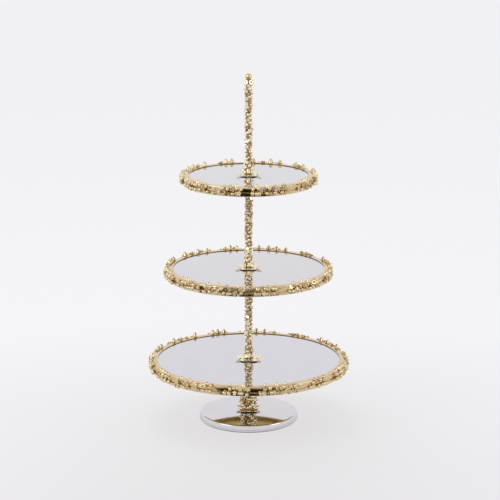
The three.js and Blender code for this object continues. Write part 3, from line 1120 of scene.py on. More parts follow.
@dataclass
class Garland:
    """Blossoms and twigs round a rim, in sprays of four and three.

    Attributes:
        kit: The castings.
        radius: Outer radius of the rim.
        mirror_top: Height of the mirror.
        sprays: How many times the pattern repeats.
        phase: Where the pattern starts, clockwise from the back.
        seed: Seed of the small differences.
        upper_shares: Places of the upright buds, as shares of a spray.
        upper_size: Smallest and largest upright bud.
        upper_lean: Least and most that an upright bud leans out.
        daisy_lean: How much more a daisy leans out, to show its face.
        leaf_chance: How often a leaf lies beside an upright bud.
        groups: Where the two groups on the wall start and end, as shares of a spray.
        row_drops: How far below the mirror the two rows on the wall lie.
        spacing: Distance between blossoms in a row.
        gap_chance: How often a blossom is left out of a row.
        wall_size: Smallest and largest blossom on the wall.
        wall_tilt: Least and most that one tilts up.
        wall_stand: Least and most that its back stands off the wall.
        wall_wander: Most that it strays above or below its row.
        twig: Radius of a twig.
        twigs: Each twig's drop below the mirror and height of its wave.
        twig_steps: Pieces of a twig in each spray.
    """

    kit: BlossomKit
    radius: float
    mirror_top: float
    sprays: int
    phase: float
    seed: int
    upper_shares: tuple[float, ...] = (0.11, 0.23, 0.328, 0.453, 0.693, 0.76, 0.838)
    upper_size: tuple[float, float] = (1.12, 1.32)
    upper_lean: tuple[float, float] = (0.05, 0.4)
    daisy_lean: float = 0.5
    leaf_chance: float = 0.3
    groups: tuple[tuple[float, float], ...] = ((0.03, 0.52), (0.63, 0.91))
    row_drops: tuple[float, float] = (1.4 * MM, 8.4 * MM)
    spacing: float = 5.4 * MM
    gap_chance: float = 0.1
    wall_size: tuple[float, float] = (1.0, 1.3)
    wall_tilt: tuple[float, float] = (-0.3, 0.5)
    wall_stand: tuple[float, float] = (0.8 * MM, 2.0 * MM)
    wall_wander: float = 0.9 * MM
    twig: float = 0.7 * MM
    twigs: tuple[tuple[float, float], ...] = ((1.0 * MM, 0.5 * MM), (7.6 * MM, 0.9 * MM))
    twig_steps: int = 30

    def shape(self) -> bmesh.types.BMesh:
        """Build the whole garland.

        Returns:
            The finished shape.
        """
        draw = random.Random(self.seed)
        made = bmesh.new()
        for spray in range(self.sprays):
            for share in self.upper_shares:
                self._upper(made, draw, self._angle(spray + share))
            for first, last in self.groups:
                self._wall_rows(made, draw, spray, first, last)
        self._twigs(made)
        return made

    def _angle(self, sprays_on: float) -> float:
        """Angle about +Z of a place in the pattern."""
        return math.pi / 2 - self.phase - FULL_TURN * sprays_on / self.sprays

    def _upper(self, made: bmesh.types.BMesh, draw: random.Random, angle: float) -> None:
        """One upright casting on the rim's upper edge, now and then with a leaf beside it.

        Args:
            made: The shape to add to.
            draw: The source of chance.
            angle: Its place about the axis.
        """
        away = outward(angle)
        kind = pick(draw, UPPER_MIX)
        lean = draw.uniform(*self.upper_lean) + (self.daisy_lean if kind is Blossom.DAISY else 0)
        facing = (UP + away * lean).normalized()
        point = away * (self.radius - 0.2 * MM) + UP * (self.mirror_top + draw.uniform(0.4, 1.1) * MM)
        size = draw.uniform(*self.upper_size)
        self.kit.place(made, kind, point, facing, any_angle(draw), size)
        if draw.random() < self.leaf_chance:
            beside = away.cross(UP) * draw.choice((-1, 1)) + UP * 0.9 + away * 0.3
            self.kit.place(made, Blossom.LEAF, point - UP * 0.6 * MM, beside.normalized(), 0, 0.7)

    def _wall_rows(
        self, made: bmesh.types.BMesh, draw: random.Random, spray: int, first: float, last: float
    ) -> None:
        """Two uneven rows of castings that face outwards from the rim's wall.

        Args:
            made: The shape to add to.
            draw: The source of chance.
            spray: Which repeat of the pattern.
            first: Where the group starts, as a share of the spray.
            last: Where the group ends, as a share of the spray.
        """
        length = FULL_TURN * self.radius / self.sprays
        count = max(2, round((last - first) * length / self.spacing))
        for row, drop in enumerate(self.row_drops):
            for index in range(count):
                if draw.random() < self.gap_chance:
                    continue
                share = first + (last - first) * (index + 0.25 + 0.5 * row) / count
                angle = self._angle(spray + share + draw.uniform(-0.01, 0.01))
                self._on_wall(made, draw, angle, self.mirror_top - drop)

    def _on_wall(self, made: bmesh.types.BMesh, draw: random.Random, angle: float, height: float) -> None:
        """One casting on the rim's wall; a leaf points up or down instead of out.

        Args:
            made: The shape to add to.
            draw: The source of chance.
            angle: Its place about the axis.
            height: Its height above the table.
        """
        away = outward(angle)
        kind = pick(draw, WALL_MIX)
        tilt = tilt_from(draw, away, self.wall_tilt)
        point = away * (self.radius + draw.uniform(*self.wall_stand))
        point.z = height + draw.uniform(-self.wall_wander, self.wall_wander)
        size = draw.uniform(*self.wall_size)
        facing = (away + tilt).normalized()
        if kind is Blossom.LEAF:
            facing = (away * 0.5 + UP * draw.choice((-0.5, 0.9)) + tilt).normalized()
            size *= 0.8
        self.kit.place(made, kind, point, facing, any_angle(draw), size)

    def _twigs(self, made: bmesh.types.BMesh) -> None:
        """Two thin twigs all round the rim, with a slight wave.

        Args:
            made: The shape to add to.
        """
        for drop, wave in self.twigs:
            verts = wire_along(
                made,
                radius=self.radius + self.twig,
                thickness=self.twig,
                low=self.mirror_top - drop,
                rise=0.0,
                start=0.0,
                sweep=FULL_TURN,
                steps=self.sprays * self.twig_steps,
            )
            for vert in verts:
                angle = math.atan2(vert.co.y, vert.co.x)
                vert.co.z += wave * math.sin(2 * self.sprays * angle)


@dataclass
class Tray:
    """One tray: rim, mirror, floor plates, hub bush and garland.

    Attributes:
        name: bottom, middle or top.
        kit: The castings.
        sprays: Repeats of the garland's pattern.
        phase: Where the pattern starts, in degrees clockwise from the back.
        seed: Seed of the garland's small differences.
        lip_width: Width of the flat lip.
        lip_gap: Height of the lip's underside over the mirror.
        sheet: Thickness of the rim's sheet.
        shade_line_depth: How far out from the lip's edge a face may lie and still take the painted shade
            line.
        flange_height: Height of the bush's flange.
        tube: Radius of the bush above its flange.
        body: The tray's body.
    """

    name: str
    kit: BlossomKit
    sprays: int
    phase: float
    seed: int
    lip_width: float = 9.3 * MM
    lip_gap: float = 0.08 * MM
    sheet: float = 1.2 * MM
    shade_line_depth: float = 0.05 * MM
    flange_height: float = 2.4 * MM
    tube: float = 5.0 * MM
    body: str = field(init=False)

    def __post_init__(self) -> None:
        """Read the tray's sizes from the frame."""
        self.body = f"{self.name}_tray"
        low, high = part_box(f"{self.name}_rim_band")
        self.radius, self.rim_low, self.rim_top = high.x, low.z, high.z
        self.mirror_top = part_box(f"{self.name}_mirror")[1].z

    def build(self) -> None:
        """Build and dress every piece of the tray."""
        self._band()
        self._disc("mirror", "mirror_glass", MIRROR, 0.35 * MM)
        self._disc("under_plate", "gold_band", GOLD_UNDER, 0.3 * MM)
        self._bush()
        self._garland()
        keep_node(f"{self.name}_backing_board", HARDBOARD)
        keep_node(f"{self.name}_thrust_washer", NYLON)

    def _piece(self, part: str, slot: str) -> Piece:
        """The frame's facts on one of the tray's pieces, which stands for one node."""
        return Piece(f"{self.name}_{part}_piece", self.body, slot, (f"{self.name}_{part}",))

    def _band(self) -> None:
        """Spun rim: a flat lip over the mirror, a rounded outer edge and a plain wall.

        The lip's inner edge takes the second finish, a thin line of painted shade round the mirror.
        """
        inner = self.radius - self.lip_width
        under_lip = self.mirror_top + self.lip_gap
        wall = self.radius - self.sheet
        corners = [
            Corner(inner, under_lip),
            Corner(wall, under_lip),
            Corner(wall, self.rim_low, 0.3 * MM),
            Corner(self.radius, self.rim_low, 0.5 * MM),
            Corner(self.radius, self.rim_top, 1.3 * MM),
            Corner(inner, self.rim_top),
        ]
        shape = Turning(corners, steps=192, segments=4).shape()
        # Faces at the lip's inner edge take the thin line of painted shade.
        for face in shape.faces:
            if face.calc_center_median().xy.length < inner + self.shade_line_depth:
                face.material_index = 1
        self._piece("rim_band", "gold_band").show(shape, GOLD_SHEET, LIP_SHADE_LINE)

    def _disc(self, part: str, slot: str, finish: Finish, edge: float) -> None:
        """A flat disc with a centre hole and eased edges, as large as its node."""
        shape = flat_ring(f"{self.name}_{part}", DISC_HOLE, edge, steps=128, segments=2)
        self._piece(part, slot).show(shape, finish)

    def _bush(self) -> None:
        """Flanged bush under the floor."""
        low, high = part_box(f"{self.name}_hub_bush")
        flange_top = low.z + self.flange_height
        corners = [
            Corner(STUD_BORE, low.z),
            Corner(high.x, low.z, 0.6 * MM),
            Corner(high.x, flange_top, 0.3 * MM),
            Corner(self.tube, flange_top),
            Corner(self.tube, high.z),
            Corner(STUD_BORE, high.z),
        ]
        self._piece("hub_bush", "zinc_steel").show(Turning(corners, steps=48).shape(), ZINC)

    def _garland(self) -> None:
        """Garland soldered to the rim."""
        garland = Garland(
            self.kit,
            radius=self.radius,
            mirror_top=self.mirror_top,
            sprays=self.sprays,
            phase=math.radians(self.phase),
            seed=self.seed,
        )
        self._piece("rim_garland", "gold_blossoms").show(garland.shape(), GOLD_TRIM)


def keep_node(name: str, finish: Finish) -> None:
    """Give a CAD node that stays in view its finish.

    Args:
        name: The node.
        finish: Its finish.
    """
    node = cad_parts[name]
    if node.data.materials:
        node.material_slots[0].material = finish.material()
    else:
        node.data.materials.append(finish.material())
    LOG.info("%s keeps its shape", name)


# ---- stems ----


@dataclass
class Collar:
    """Thin flower of upturned petals where a section stands on a tray.

    Attributes:
        node: The CAD node.
        body: The CAD body.
        petals: How many petals.
        seed: Seed of their small differences.
        dish: How far the petals dip beside the washer.
        lift: How far the tips at the two sides turn up.
        sheet: Thickness of a petal.
        hole: Radius of the centre hole.
        spread: Reach of the tips, where 1 is the node's own.
        rings: Rings of points across a petal, as shares of its reach.
        per_petal: Sides round the axis in each petal.
        tip_range: Shortest and longest petal, where 1 is the whole reach.
        flat_lift: Share of the lift that the petals at the front and back take.
        notch: How deep the outline draws in between petals, as a share of the reach.
        lobed_from: Where the outline starts to part into petals.
        bent_from: Where the petals start to turn up.
        dip_from: Where the dip past the washer starts.
        dip_to: Where it reaches its full depth.
    """

    node: str
    body: str
    petals: int
    seed: int
    dish: float
    lift: float = 4.4 * MM
    sheet: float = 0.7 * MM
    hole: float = 3.3 * MM
    spread: float = 1.07
    rings: tuple[float, ...] = (0.3, 0.56, 0.66, 0.76, 0.86, 0.94, 1.0)
    per_petal: int = 12
    tip_range: tuple[float, float] = (0.95, 1.05)
    flat_lift: float = 0.06
    notch: float = 0.2
    lobed_from: float = 0.25
    bent_from: float = 0.58
    dip_from: float = 0.56
    dip_to: float = 0.64

    def build(self) -> None:
        """Build the flower as one thin disc, lobed and lifted at its tips."""
        low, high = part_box(self.node)
        reach = self.spread * max(high.x, high.y)
        draw = random.Random(self.seed)
        tips = [draw.uniform(*self.tip_range) for _ in range(self.petals)]
        sideways = [abs(math.cos(FULL_TURN * index / self.petals)) for index in range(self.petals)]
        rise = 1 - self.flat_lift
        lifts = [self.flat_lift + rise * side**4 + draw.uniform(-0.03, 0.0) for side in sideways]
        shape = bmesh.new()
        shape.verts.new((self.hole, 0, 0))
        for share in self.rings:
            shape.verts.new((reach * share, 0, 0))
        shape.verts.ensure_lookup_table()
        edges = [shape.edges.new(pair) for pair in zip(shape.verts[:-1], shape.verts[1:])]
        bmesh.ops.spin(
            shape,
            geom=shape.verts[:] + edges,
            cent=(0, 0, 0),
            axis=UP,
            angle=FULL_TURN,
            steps=self.petals * self.per_petal,
            use_merge=True,
        )
        for vert in shape.verts:
            self._form(vert, reach, tips, lifts)
        bmesh.ops.recalc_face_normals(shape, faces=shape.faces)
        bmesh.ops.solidify(shape, geom=shape.faces[:], thickness=self.sheet)
        bmesh.ops.translate(shape, vec=(0, 0, low.z + self.sheet), verts=shape.verts)
        piece = Piece(f"{self.node}_piece", self.body, "gold_blossoms", (self.node,))
        # The castings' gold is lightened, as painted light against the shade round the stem.
        piece.show(shape, GOLD_CAST_LIGHTENED, rounds=1)

    def _form(
        self, vert: bmesh.types.BMVert, reach: float, tips: Sequence[float], lifts: Sequence[float]
    ) -> None:
        """Draw one point of the flat disc in to its petal's outline and lift it.

        Args:
            vert: The point.
            reach: Radius of the flat disc.
            tips: Length of each petal, where 1 is the whole reach.
            lifts: Rise of each petal's tip, where 1 is the whole lift.
        """
        angle = math.atan2(vert.co.y, vert.co.x) % FULL_TURN
        place = angle / FULL_TURN * self.petals + 0.5
        petal = int(place) % self.petals
        across = abs(place - int(place) - 0.5) * 2
        share = vert.co.xy.length / reach
        lobe = 1 - self.notch * across**2.6
        outline = 1 + (lobe * tips[petal] - 1) * ramp(share, self.lobed_from, 1.0)
        vert.co.x *= outline
        vert.co.y *= outline
        bend = ramp(share, self.bent_from, 1.0) ** 1.25
        cupped = 0.75 + 0.25 * (1 - across**2)
        vert.co.z = self.lift * lifts[petal] * bend * cupped
        vert.co.z -= self.dish * ramp(share, self.dip_from, self.dip_to)


@dataclass
class Climber:
    """Blossoms packed round an upright rod, over a wire that climbs it.

    Attributes:
        kit: The castings.
        node: The CAD node that it stands for.
        body: The CAD body.
        low: Height of the lowest blossoms.
        high: Height of the highest blossoms.
        radii: Rod radius by height, as (height, radius) from low to high.
        count: How many blossoms.
        size: Their size, where 1 is full size.
        seed: Seed of their small differences.
        stand: How far the proudest ones stand off the rod.
        crown: Whether a ring of blossoms closes the top.
        wander: Most that a blossom strays up or down.
        swing: Most that it strays about the axis.
        tilt: Least and most that it tilts up.
        size_range: Smallest and largest blossom, as a share of the size.
        wire: Radius of the climbing wire.
        pitch: How far the wire climbs in a turn.
        wire_steps: Pieces of wire in a turn.
        skirt_count: Blossoms in the ring round the foot.
        crown_count: Blossoms in the ring at the top.
    """

    kit: BlossomKit
    node: str
    body: str
    low: float
    high: float
    radii: Sequence[tuple[float, float]]
    count: int
    size: float
    seed: int
    stand: float = 0.6 * MM
    crown: bool = False
    wander: float = 0.8 * MM
    swing: float = 0.3
    tilt: tuple[float, float] = (-0.4, 0.6)
    size_range: tuple[float, float] = (0.8, 1.15)
    wire: float = 0.8 * MM
    pitch: float = 21 * MM
    wire_steps: int = 18
    skirt_count: int = 8
    crown_count: int = 6

    def build(self) -> None:
        """Build and dress the climber."""
        draw = random.Random(self.seed)
        shape = bmesh.new()
        self._wire(shape)
        self._skirt(shape, draw)
        for index in range(self.count):
            share = (index + 0.5) / self.count
            self._blossom(shape, draw, share, index * GOLDEN_ANGLE)
        if self.crown:
            self._crown(shape, draw)
        piece = Piece(f"{self.node}_piece", self.body, "gold_blossoms", (self.node,))
        # The castings' gold is lightened, as painted light against the shade round the stem.
        piece.show(shape, GOLD_CAST_LIGHTENED)

    def _radius(self, height: float) -> float:
        """Rod radius at a height, straight between the given ones.

        Args:
            height: A height above the table.

        Returns:
            The rod's radius there.
        """
        for (low, first), (high, second) in zip(self.radii, self.radii[1:]):
            if height <= high:
                share = max(0.0, (height - low) / (high - low))
                return first + (second - first) * share
        return self.radii[-1][1]

    def _wire(self, shape: bmesh.types.BMesh) -> None:
        """The climbing wire, made on a wide circle and then drawn in to the rod's surface.

        Args:
            shape: The shape to add to.
        """
        turns = (self.high - self.low) / self.pitch
        verts = wire_along(
            shape,
            radius=1.0,
            thickness=self.wire,
            low=self.low,
            rise=self.high - self.low,
            start=0.0,
            sweep=FULL_TURN * turns,
            steps=round(self.wire_steps * turns),
        )
        for vert in verts:
            stand = self._radius(vert.co.z) + 0.3 * MM
            flat = vert.co.xy
            flat *= (stand + flat.length - 1.0) / flat.length
            vert.co.xy = flat

    def _blossom(self, shape: bmesh.types.BMesh, draw: random.Random, share: float, angle: float) -> None:
        """One blossom on the rod's surface.

        Args:
            shape: The shape to add to.
            draw: The source of chance.
            share: Its place on the way up, from 0 to 1.
            angle: Its place about the axis.
        """
        height = self.low + (self.high - self.low) * share + draw.uniform(-self.wander, self.wander)
        away = outward(angle + draw.uniform(-self.swing, self.swing))
        kind = pick(draw, STEM_MIX)
        tilt = tilt_from(draw, away, self.tilt)
        point = away * (self._radius(height) + draw.uniform(0, self.stand)) + UP * height
        size = self.size * draw.uniform(*self.size_range)
        if kind is Blossom.LEAF:
            tilt += UP * 0.7
            size *= 0.75
        if kind is Blossom.BUD:
            size *= 0.7
        self.kit.place(shape, kind, point, (away + tilt).normalized(), any_angle(draw), size)

    def _skirt(self, shape: bmesh.types.BMesh, draw: random.Random) -> None:
        """A ring of pebbles and daisies round the foot.

        Args:
            shape: The shape to add to.
            draw: The source of chance.
        """
        for index in range(self.skirt_count):
            away = outward(FULL_TURN * index / self.skirt_count + draw.uniform(-0.15, 0.15))
            point = away * (self.radii[0][1] + 0.9 * MM) + UP * (self.low - 0.4 * MM)
            kind = draw.choice((Blossom.BERRY, Blossom.DAISY))
            facing = (away + UP * draw.uniform(0.1, 0.6)).normalized()
            self.kit.place(shape, kind, point, facing, any_angle(draw), self.size)

    def _crown(self, shape: bmesh.types.BMesh, draw: random.Random) -> None:
        """A ring of blossoms at the very top.

        Args:
            shape: The shape to add to.
            draw: The source of chance.
        """
        for index in range(self.crown_count):
            away = outward(FULL_TURN * index / self.crown_count + draw.uniform(-0.1, 0.1))
            point = away * (self.radii[-1][1] + 1.3 * MM) + UP * self.high
            facing = (away + UP * 0.2).normalized()
            self.kit.place(shape, Blossom.CUP, point, facing, any_angle(draw), 1.2 * self.size)


@dataclass
class StemSection:
    """A rod that screws down on a tray, with its collar, washer and climbing blossoms.

    Attributes:
        name: The section, as its nodes' names begin.
        body: The body of the rod.
        collar_body: The body of the collar.
        kit: The castings.
        seed: Seed of its small differences.
        rod_radius: Radius of the plain rod.
        boss_radius: Radius of the thicker end.
        boss_length: Length of the thicker end.
        taper: Length of the taper between the two.
        shoulder_radius: Radius of the shoulder under the next tray.
        shoulder_length: Height of that shoulder.
        blossom_start: Height of the lowest blossoms over the foot.
        blossom_end: Drop of the highest blossoms below the top.
        blossoms: How many blossoms climb it.
        blossom_size: Their size, where 1 is full size.
        crowned: Whether a ring of blossoms closes the top.
    """

    name: str
    body: str
    collar_body: str
    kit: BlossomKit
    seed: int
    rod_radius: float = 3.6 * MM
    boss_radius: float = 5.0 * MM
    boss_length: float = 16 * MM
    taper: float = 3 * MM
    shoulder_radius: float = 8.0 * MM
    shoulder_length: float = 3 * MM
    blossom_start: float = 3.5 * MM
    blossom_end: float = 7 * MM
    blossoms: int = 136
    blossom_size: float = 0.94
    crowned: bool = False

    def __post_init__(self) -> None:
        """Read the section's height from the frame."""
        low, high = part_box(f"{self.name}_rod")
        self.foot, self.top = low.z, high.z

    def build(self) -> None:
        """Build and dress every piece of the section."""
        self._rod()
        self._climber()
        self._washer()
        self._collar()
        keep_node(f"{self.name}_stud", ZINC)

    def _show_rod(self, corners: Sequence[Corner]) -> None:
        """Turn the rod and dress it.

        Args:
            corners: The rod's profile, in order.
        """
        shape = Turning(corners, closed=False, steps=40).shape()
        node = f"{self.name}_rod"
        # The rod's darker gold is painted shade, which shows in the gaps between the blossoms.
        Piece(f"{node}_piece", self.body, "gold_rod", (node,)).show(shape, GOLD_SHADE_CORE)

    def _foot_corners(self) -> list[Corner]:
        """Blind stud hole and threaded boss at the foot.

        Returns:
            The lower end of the rod's profile, from the axis outwards.
        """
        hole_top = self.foot + STUD_DEPTH
        boss_top = self.foot + self.boss_length
        return [
            Corner(0, hole_top),
            Corner(STUD_BORE, hole_top),
            Corner(STUD_BORE, self.foot),
            Corner(self.boss_radius, self.foot, 0.5 * MM),
            Corner(self.boss_radius, boss_top, 1.2 * MM),
            Corner(self.rod_radius, boss_top + self.taper, 1.2 * MM),
        ]

    def _rod(self) -> None:
        """Rod with a boss at its foot and a shoulder at its top."""
        neck = self.top - self.boss_length
        hole_end = self.top - STUD_DEPTH
        top_corners = [
            Corner(self.rod_radius, neck - self.taper, 1.2 * MM),
            Corner(self.boss_radius, neck, 1.2 * MM),
            Corner(self.boss_radius, self.top - self.shoulder_length - 2 * MM, 0.8 * MM),
            Corner(self.shoulder_radius, self.top - self.shoulder_length, 0.6 * MM),
            Corner(self.shoulder_radius, self.top, 0.4 * MM),
            Corner(STUD_BORE, self.top),
            Corner(STUD_BORE, hole_end),
            Corner(0, hole_end),
        ]
        self._show_rod(self._foot_corners() + top_corners)

    def _radii(self) -> list[tuple[float, float]]:
        """Rod radius by height.

        Returns:
            Pairs of height and radius, from low to high.
        """
        boss_top = self.foot + self.boss_length
        neck = self.top - self.boss_length
        return [
            (self.foot, self.boss_radius),
            (boss_top, self.boss_radius),
            (boss_top + self.taper, self.rod_radius),
            (neck - self.taper, self.rod_radius),
            (neck, self.boss_radius),
            (self.top, self.boss_radius),
        ]

    def _climber(self) -> None:
        """Blossoms from just over the collar to just under the top."""
        Climber(
            self.kit,
            node=f"{self.name}_vine",
            body=self.body,
            low=self.foot + self.blossom_start,
            high=self.top - self.blossom_end,
            radii=self._radii(),
            count=self.blossoms,
            size=self.blossom_size,
            seed=self.seed,
            crown=self.crowned,
        ).build()

    def _collar(self) -> None:
        """Flower whose petals dip past the washer, almost to the glass."""
        low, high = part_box(f"{self.name}_pad_washer")
        dish = high.z - low.z - 0.1 * MM
        node = f"{self.name}_collar"
        Collar(node, self.collar_body, petals=6, seed=self.seed, dish=dish).build()

    def _washer(self) -> None:
        """Nylon washer between the collar and the glass."""
        node = f"{self.name}_pad_washer"
        shape = flat_ring(node, STUD_BORE, 0.2 * MM, steps=48)
        Piece(f"{node}_piece", self.collar_body, "nylon", (node,)).show(shape, NYLON)


@dataclass
class Handle(StemSection):
    """The topmost section, which ends in a polished ball over a ring of blossoms.

    Attributes:
        blossom_end: As in StemSection, but closer to the top.
        blossoms: As in StemSection, but closer together.
        blossom_size: As in StemSection, but a little smaller.
        crowned: As in StemSection, and here there is a ring.
        ball_share: The ball's radius as a share of its node's width, a little over half of it.
        spigot_bore: Radius of the hole for the ball's spigot.
        spigot_depth: Depth of that hole.
        spigot_radius: Radius of the spigot.
        spigot_length: How far the spigot goes into the rod.
        neck: How far the spigot goes up into the ball.
    """

    blossom_end: float = 3.8 * MM
    blossoms: int = 144
    blossom_size: float = 0.92
    crowned: bool = True
    ball_share: float = 0.55
    spigot_bore: float = 1.65 * MM
    spigot_depth: float = 7 * MM
    spigot_radius: float = 1.5 * MM
    spigot_length: float = 6 * MM
    neck: float = 2 * MM

    def __post_init__(self) -> None:
        """Read the handle's height and the ball's from the frame."""
        super().__post_init__()
        low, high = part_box("finial")
        self.ball_radius = self.ball_share * (high.x - low.x)
        self.ball_top = high.z

    def build(self) -> None:
        """Build and dress every piece of the handle."""
        self._rod()
        self._climber()
        self._washer()
        self._ball()
        self._collar()

    def _rod(self) -> None:
        """Rod with a boss at its foot and a small hole for the ball's spigot."""
        hole_end = self.top - self.spigot_depth
        top_corners = [
            Corner(self.rod_radius, self.top, 0.4 * MM),
            Corner(self.spigot_bore, self.top),
            Corner(self.spigot_bore, hole_end),
            Corner(0, hole_end),
        ]
        self._show_rod(self._foot_corners() + top_corners)

    def _radii(self) -> list[tuple[float, float]]:
        """Rod radius by height.

        Returns:
            Pairs of height and radius, from low to high.
        """
        boss_top = self.foot + self.boss_length
        return [
            (self.foot, self.boss_radius),
            (boss_top, self.boss_radius),
            (boss_top + self.taper, self.rod_radius),
            (self.top, self.rod_radius),
        ]

    def _ball(self) -> None:
        """Ball on a short neck, with the spigot that holds it."""
        shape = bmesh.new()
        centre = self.ball_top - self.ball_radius
        place = Matrix.Translation((0, 0, centre))
        bmesh.ops.create_uvsphere(shape, u_segments=32, v_segments=20, radius=self.ball_radius, matrix=place)
        middle = self.top + (self.neck - self.spigot_length) / 2
        bmesh.ops.create_cone(
            shape,
            cap_ends=True,
            segments=20,
            radius1=self.spigot_radius,
            radius2=self.spigot_radius,
            depth=self.spigot_length + self.neck,
            matrix=Matrix.Translation((0, 0, middle)),
        )
        Piece("finial_piece", self.body, "gold_rod", ("finial",)).show(shape, GOLD_ROD)


# ---- foot ----


@dataclass
class Foot:
    """Chromed disc on a felt ring, with the blossom pedestal that stands on it.

    Attributes:
        kit: The castings.
        body: The foot's body.
        crown_drop: Fall of the top from its middle to its edge.
        crown_power: How late the fall comes; 1 is a plain cone.
        crown_steps: Steps in the top's curve.
        edge_round: Radius of the upper edge.
        side_flare: How far the side stands out past the node.
        side_lean: How far the side draws in on its way up.
        side_steps: Steps in the side's curve.
        recess: Radius of the screw recess below.
        recess_depth: Depth of that recess.
        felt_inset: How far the felt stops short of the edge.
    """

    kit: BlossomKit
    body: str = "stand_foot"
    crown_drop: float = 1.9 * MM
    crown_power: float = 1.3
    crown_steps: int = 12
    edge_round: float = 2.0 * MM
    side_flare: float = 0.8 * MM
    side_lean: float = 0.9 * MM
    side_steps: int = 6
    recess: float = 7.5 * MM
    recess_depth: float = 4.1 * MM
    felt_inset: float = 0.6 * MM

    def build(self) -> None:
        """Build and dress every piece of the foot."""
        self._disc()
        self._felt()
        self._core()
        self._blossoms()
        Collar("foot_collar", self.body, petals=6, seed=41, dish=0.0, lift=3.2 * MM).build()
        for node in ("base_screw", "base_spring_washer", "pedestal_stud"):
            keep_node(node, ZINC)

    def _disc(self) -> None:
        """Crowned disc with a rounded edge and a screw recess below."""
        low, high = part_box("base_disc")
        rim = high.x + self.side_flare
        recess_top = low.z + self.recess_depth
        edge_height = high.z - self.crown_drop
        clear_of_round = 1.6 * self.edge_round
        corners = [
            Corner(STUD_BORE, recess_top),
            Corner(self.recess, recess_top),
            Corner(self.recess, low.z),
            Corner(rim, low.z, 0.7 * MM),
        ]
        side_low = low.z + 1.6 * MM
        side_rise = edge_height - clear_of_round - side_low
        for step in range(self.side_steps + 1):
            share = step / self.side_steps
            corners.append(Corner(rim - self.side_lean * share**2, side_low + side_rise * share))
        slope = 2 * self.side_lean / side_rise
        edge = rim - self.side_lean - slope * clear_of_round
        corners.append(Corner(edge, edge_height, self.edge_round))
        crowned = edge - clear_of_round
        for step in range(self.crown_steps, 0, -1):
            share = step / self.crown_steps
            drop = self.crown_drop * (crowned * share / edge) ** self.crown_power
            corners.append(Corner(crowned * share, high.z - drop))
        corners.append(Corner(STUD_BORE, high.z))
        shape = Turning(corners, steps=160, segments=5).shape()
        Piece("base_disc_piece", self.body, "chrome_steel", ("base_disc",)).show(shape, CHROME)

    def _felt(self) -> None:
        """Felt ring under the disc."""
        low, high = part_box("base_pad")
        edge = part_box("base_disc")[1].x - self.felt_inset
        corners = [
            Corner(FELT_HOLE, low.z),
            Corner(edge, low.z, 0.3 * MM),
            Corner(edge, high.z),
            Corner(FELT_HOLE, high.z),
        ]
        shape = Turning(corners, steps=96).shape()
        Piece("base_pad_piece", self.body, "felt", ("base_pad",)).show(shape, FELT)

    def _core(self) -> None:
        """Turned core of the pedestal, with a stud hole at each end."""
        low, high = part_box("pedestal_core")
        corners = [
            Corner(0, low.z + STUD_DEPTH),
            Corner(STUD_BORE, low.z + STUD_DEPTH),
            Corner(STUD_BORE, low.z),
            Corner(high.x, low.z, 0.6 * MM),
            Corner(high.x, high.z, 0.6 * MM),
            Corner(STUD_BORE, high.z),
            Corner(STUD_BORE, high.z - STUD_DEPTH),
            Corner(0, high.z - STUD_DEPTH),
        ]
        shape = Turning(corners, closed=False, steps=48).shape()
        # The core's darker gold is painted shade, which shows in the gaps between the blossoms.
        Piece("pedestal_core_piece", self.body, "gold_rod", ("pedestal_core",)).show(shape, GOLD_SHADE_CORE)

    def _blossoms(self) -> None:
        """Larger blossoms packed close round the pedestal."""
        low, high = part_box("pedestal_core")
        Climber(
            self.kit,
            node="pedestal_vine",
            body=self.body,
            low=low.z + 4.5 * MM,
            high=high.z - 3 * MM,
            radii=[(low.z, high.x + 0.6 * MM), (high.z, high.x + 1.2 * MM)],
            count=150,
            size=1.15,
            seed=7,
            stand=3.0 * MM,
        ).build()


# ---- studio ----


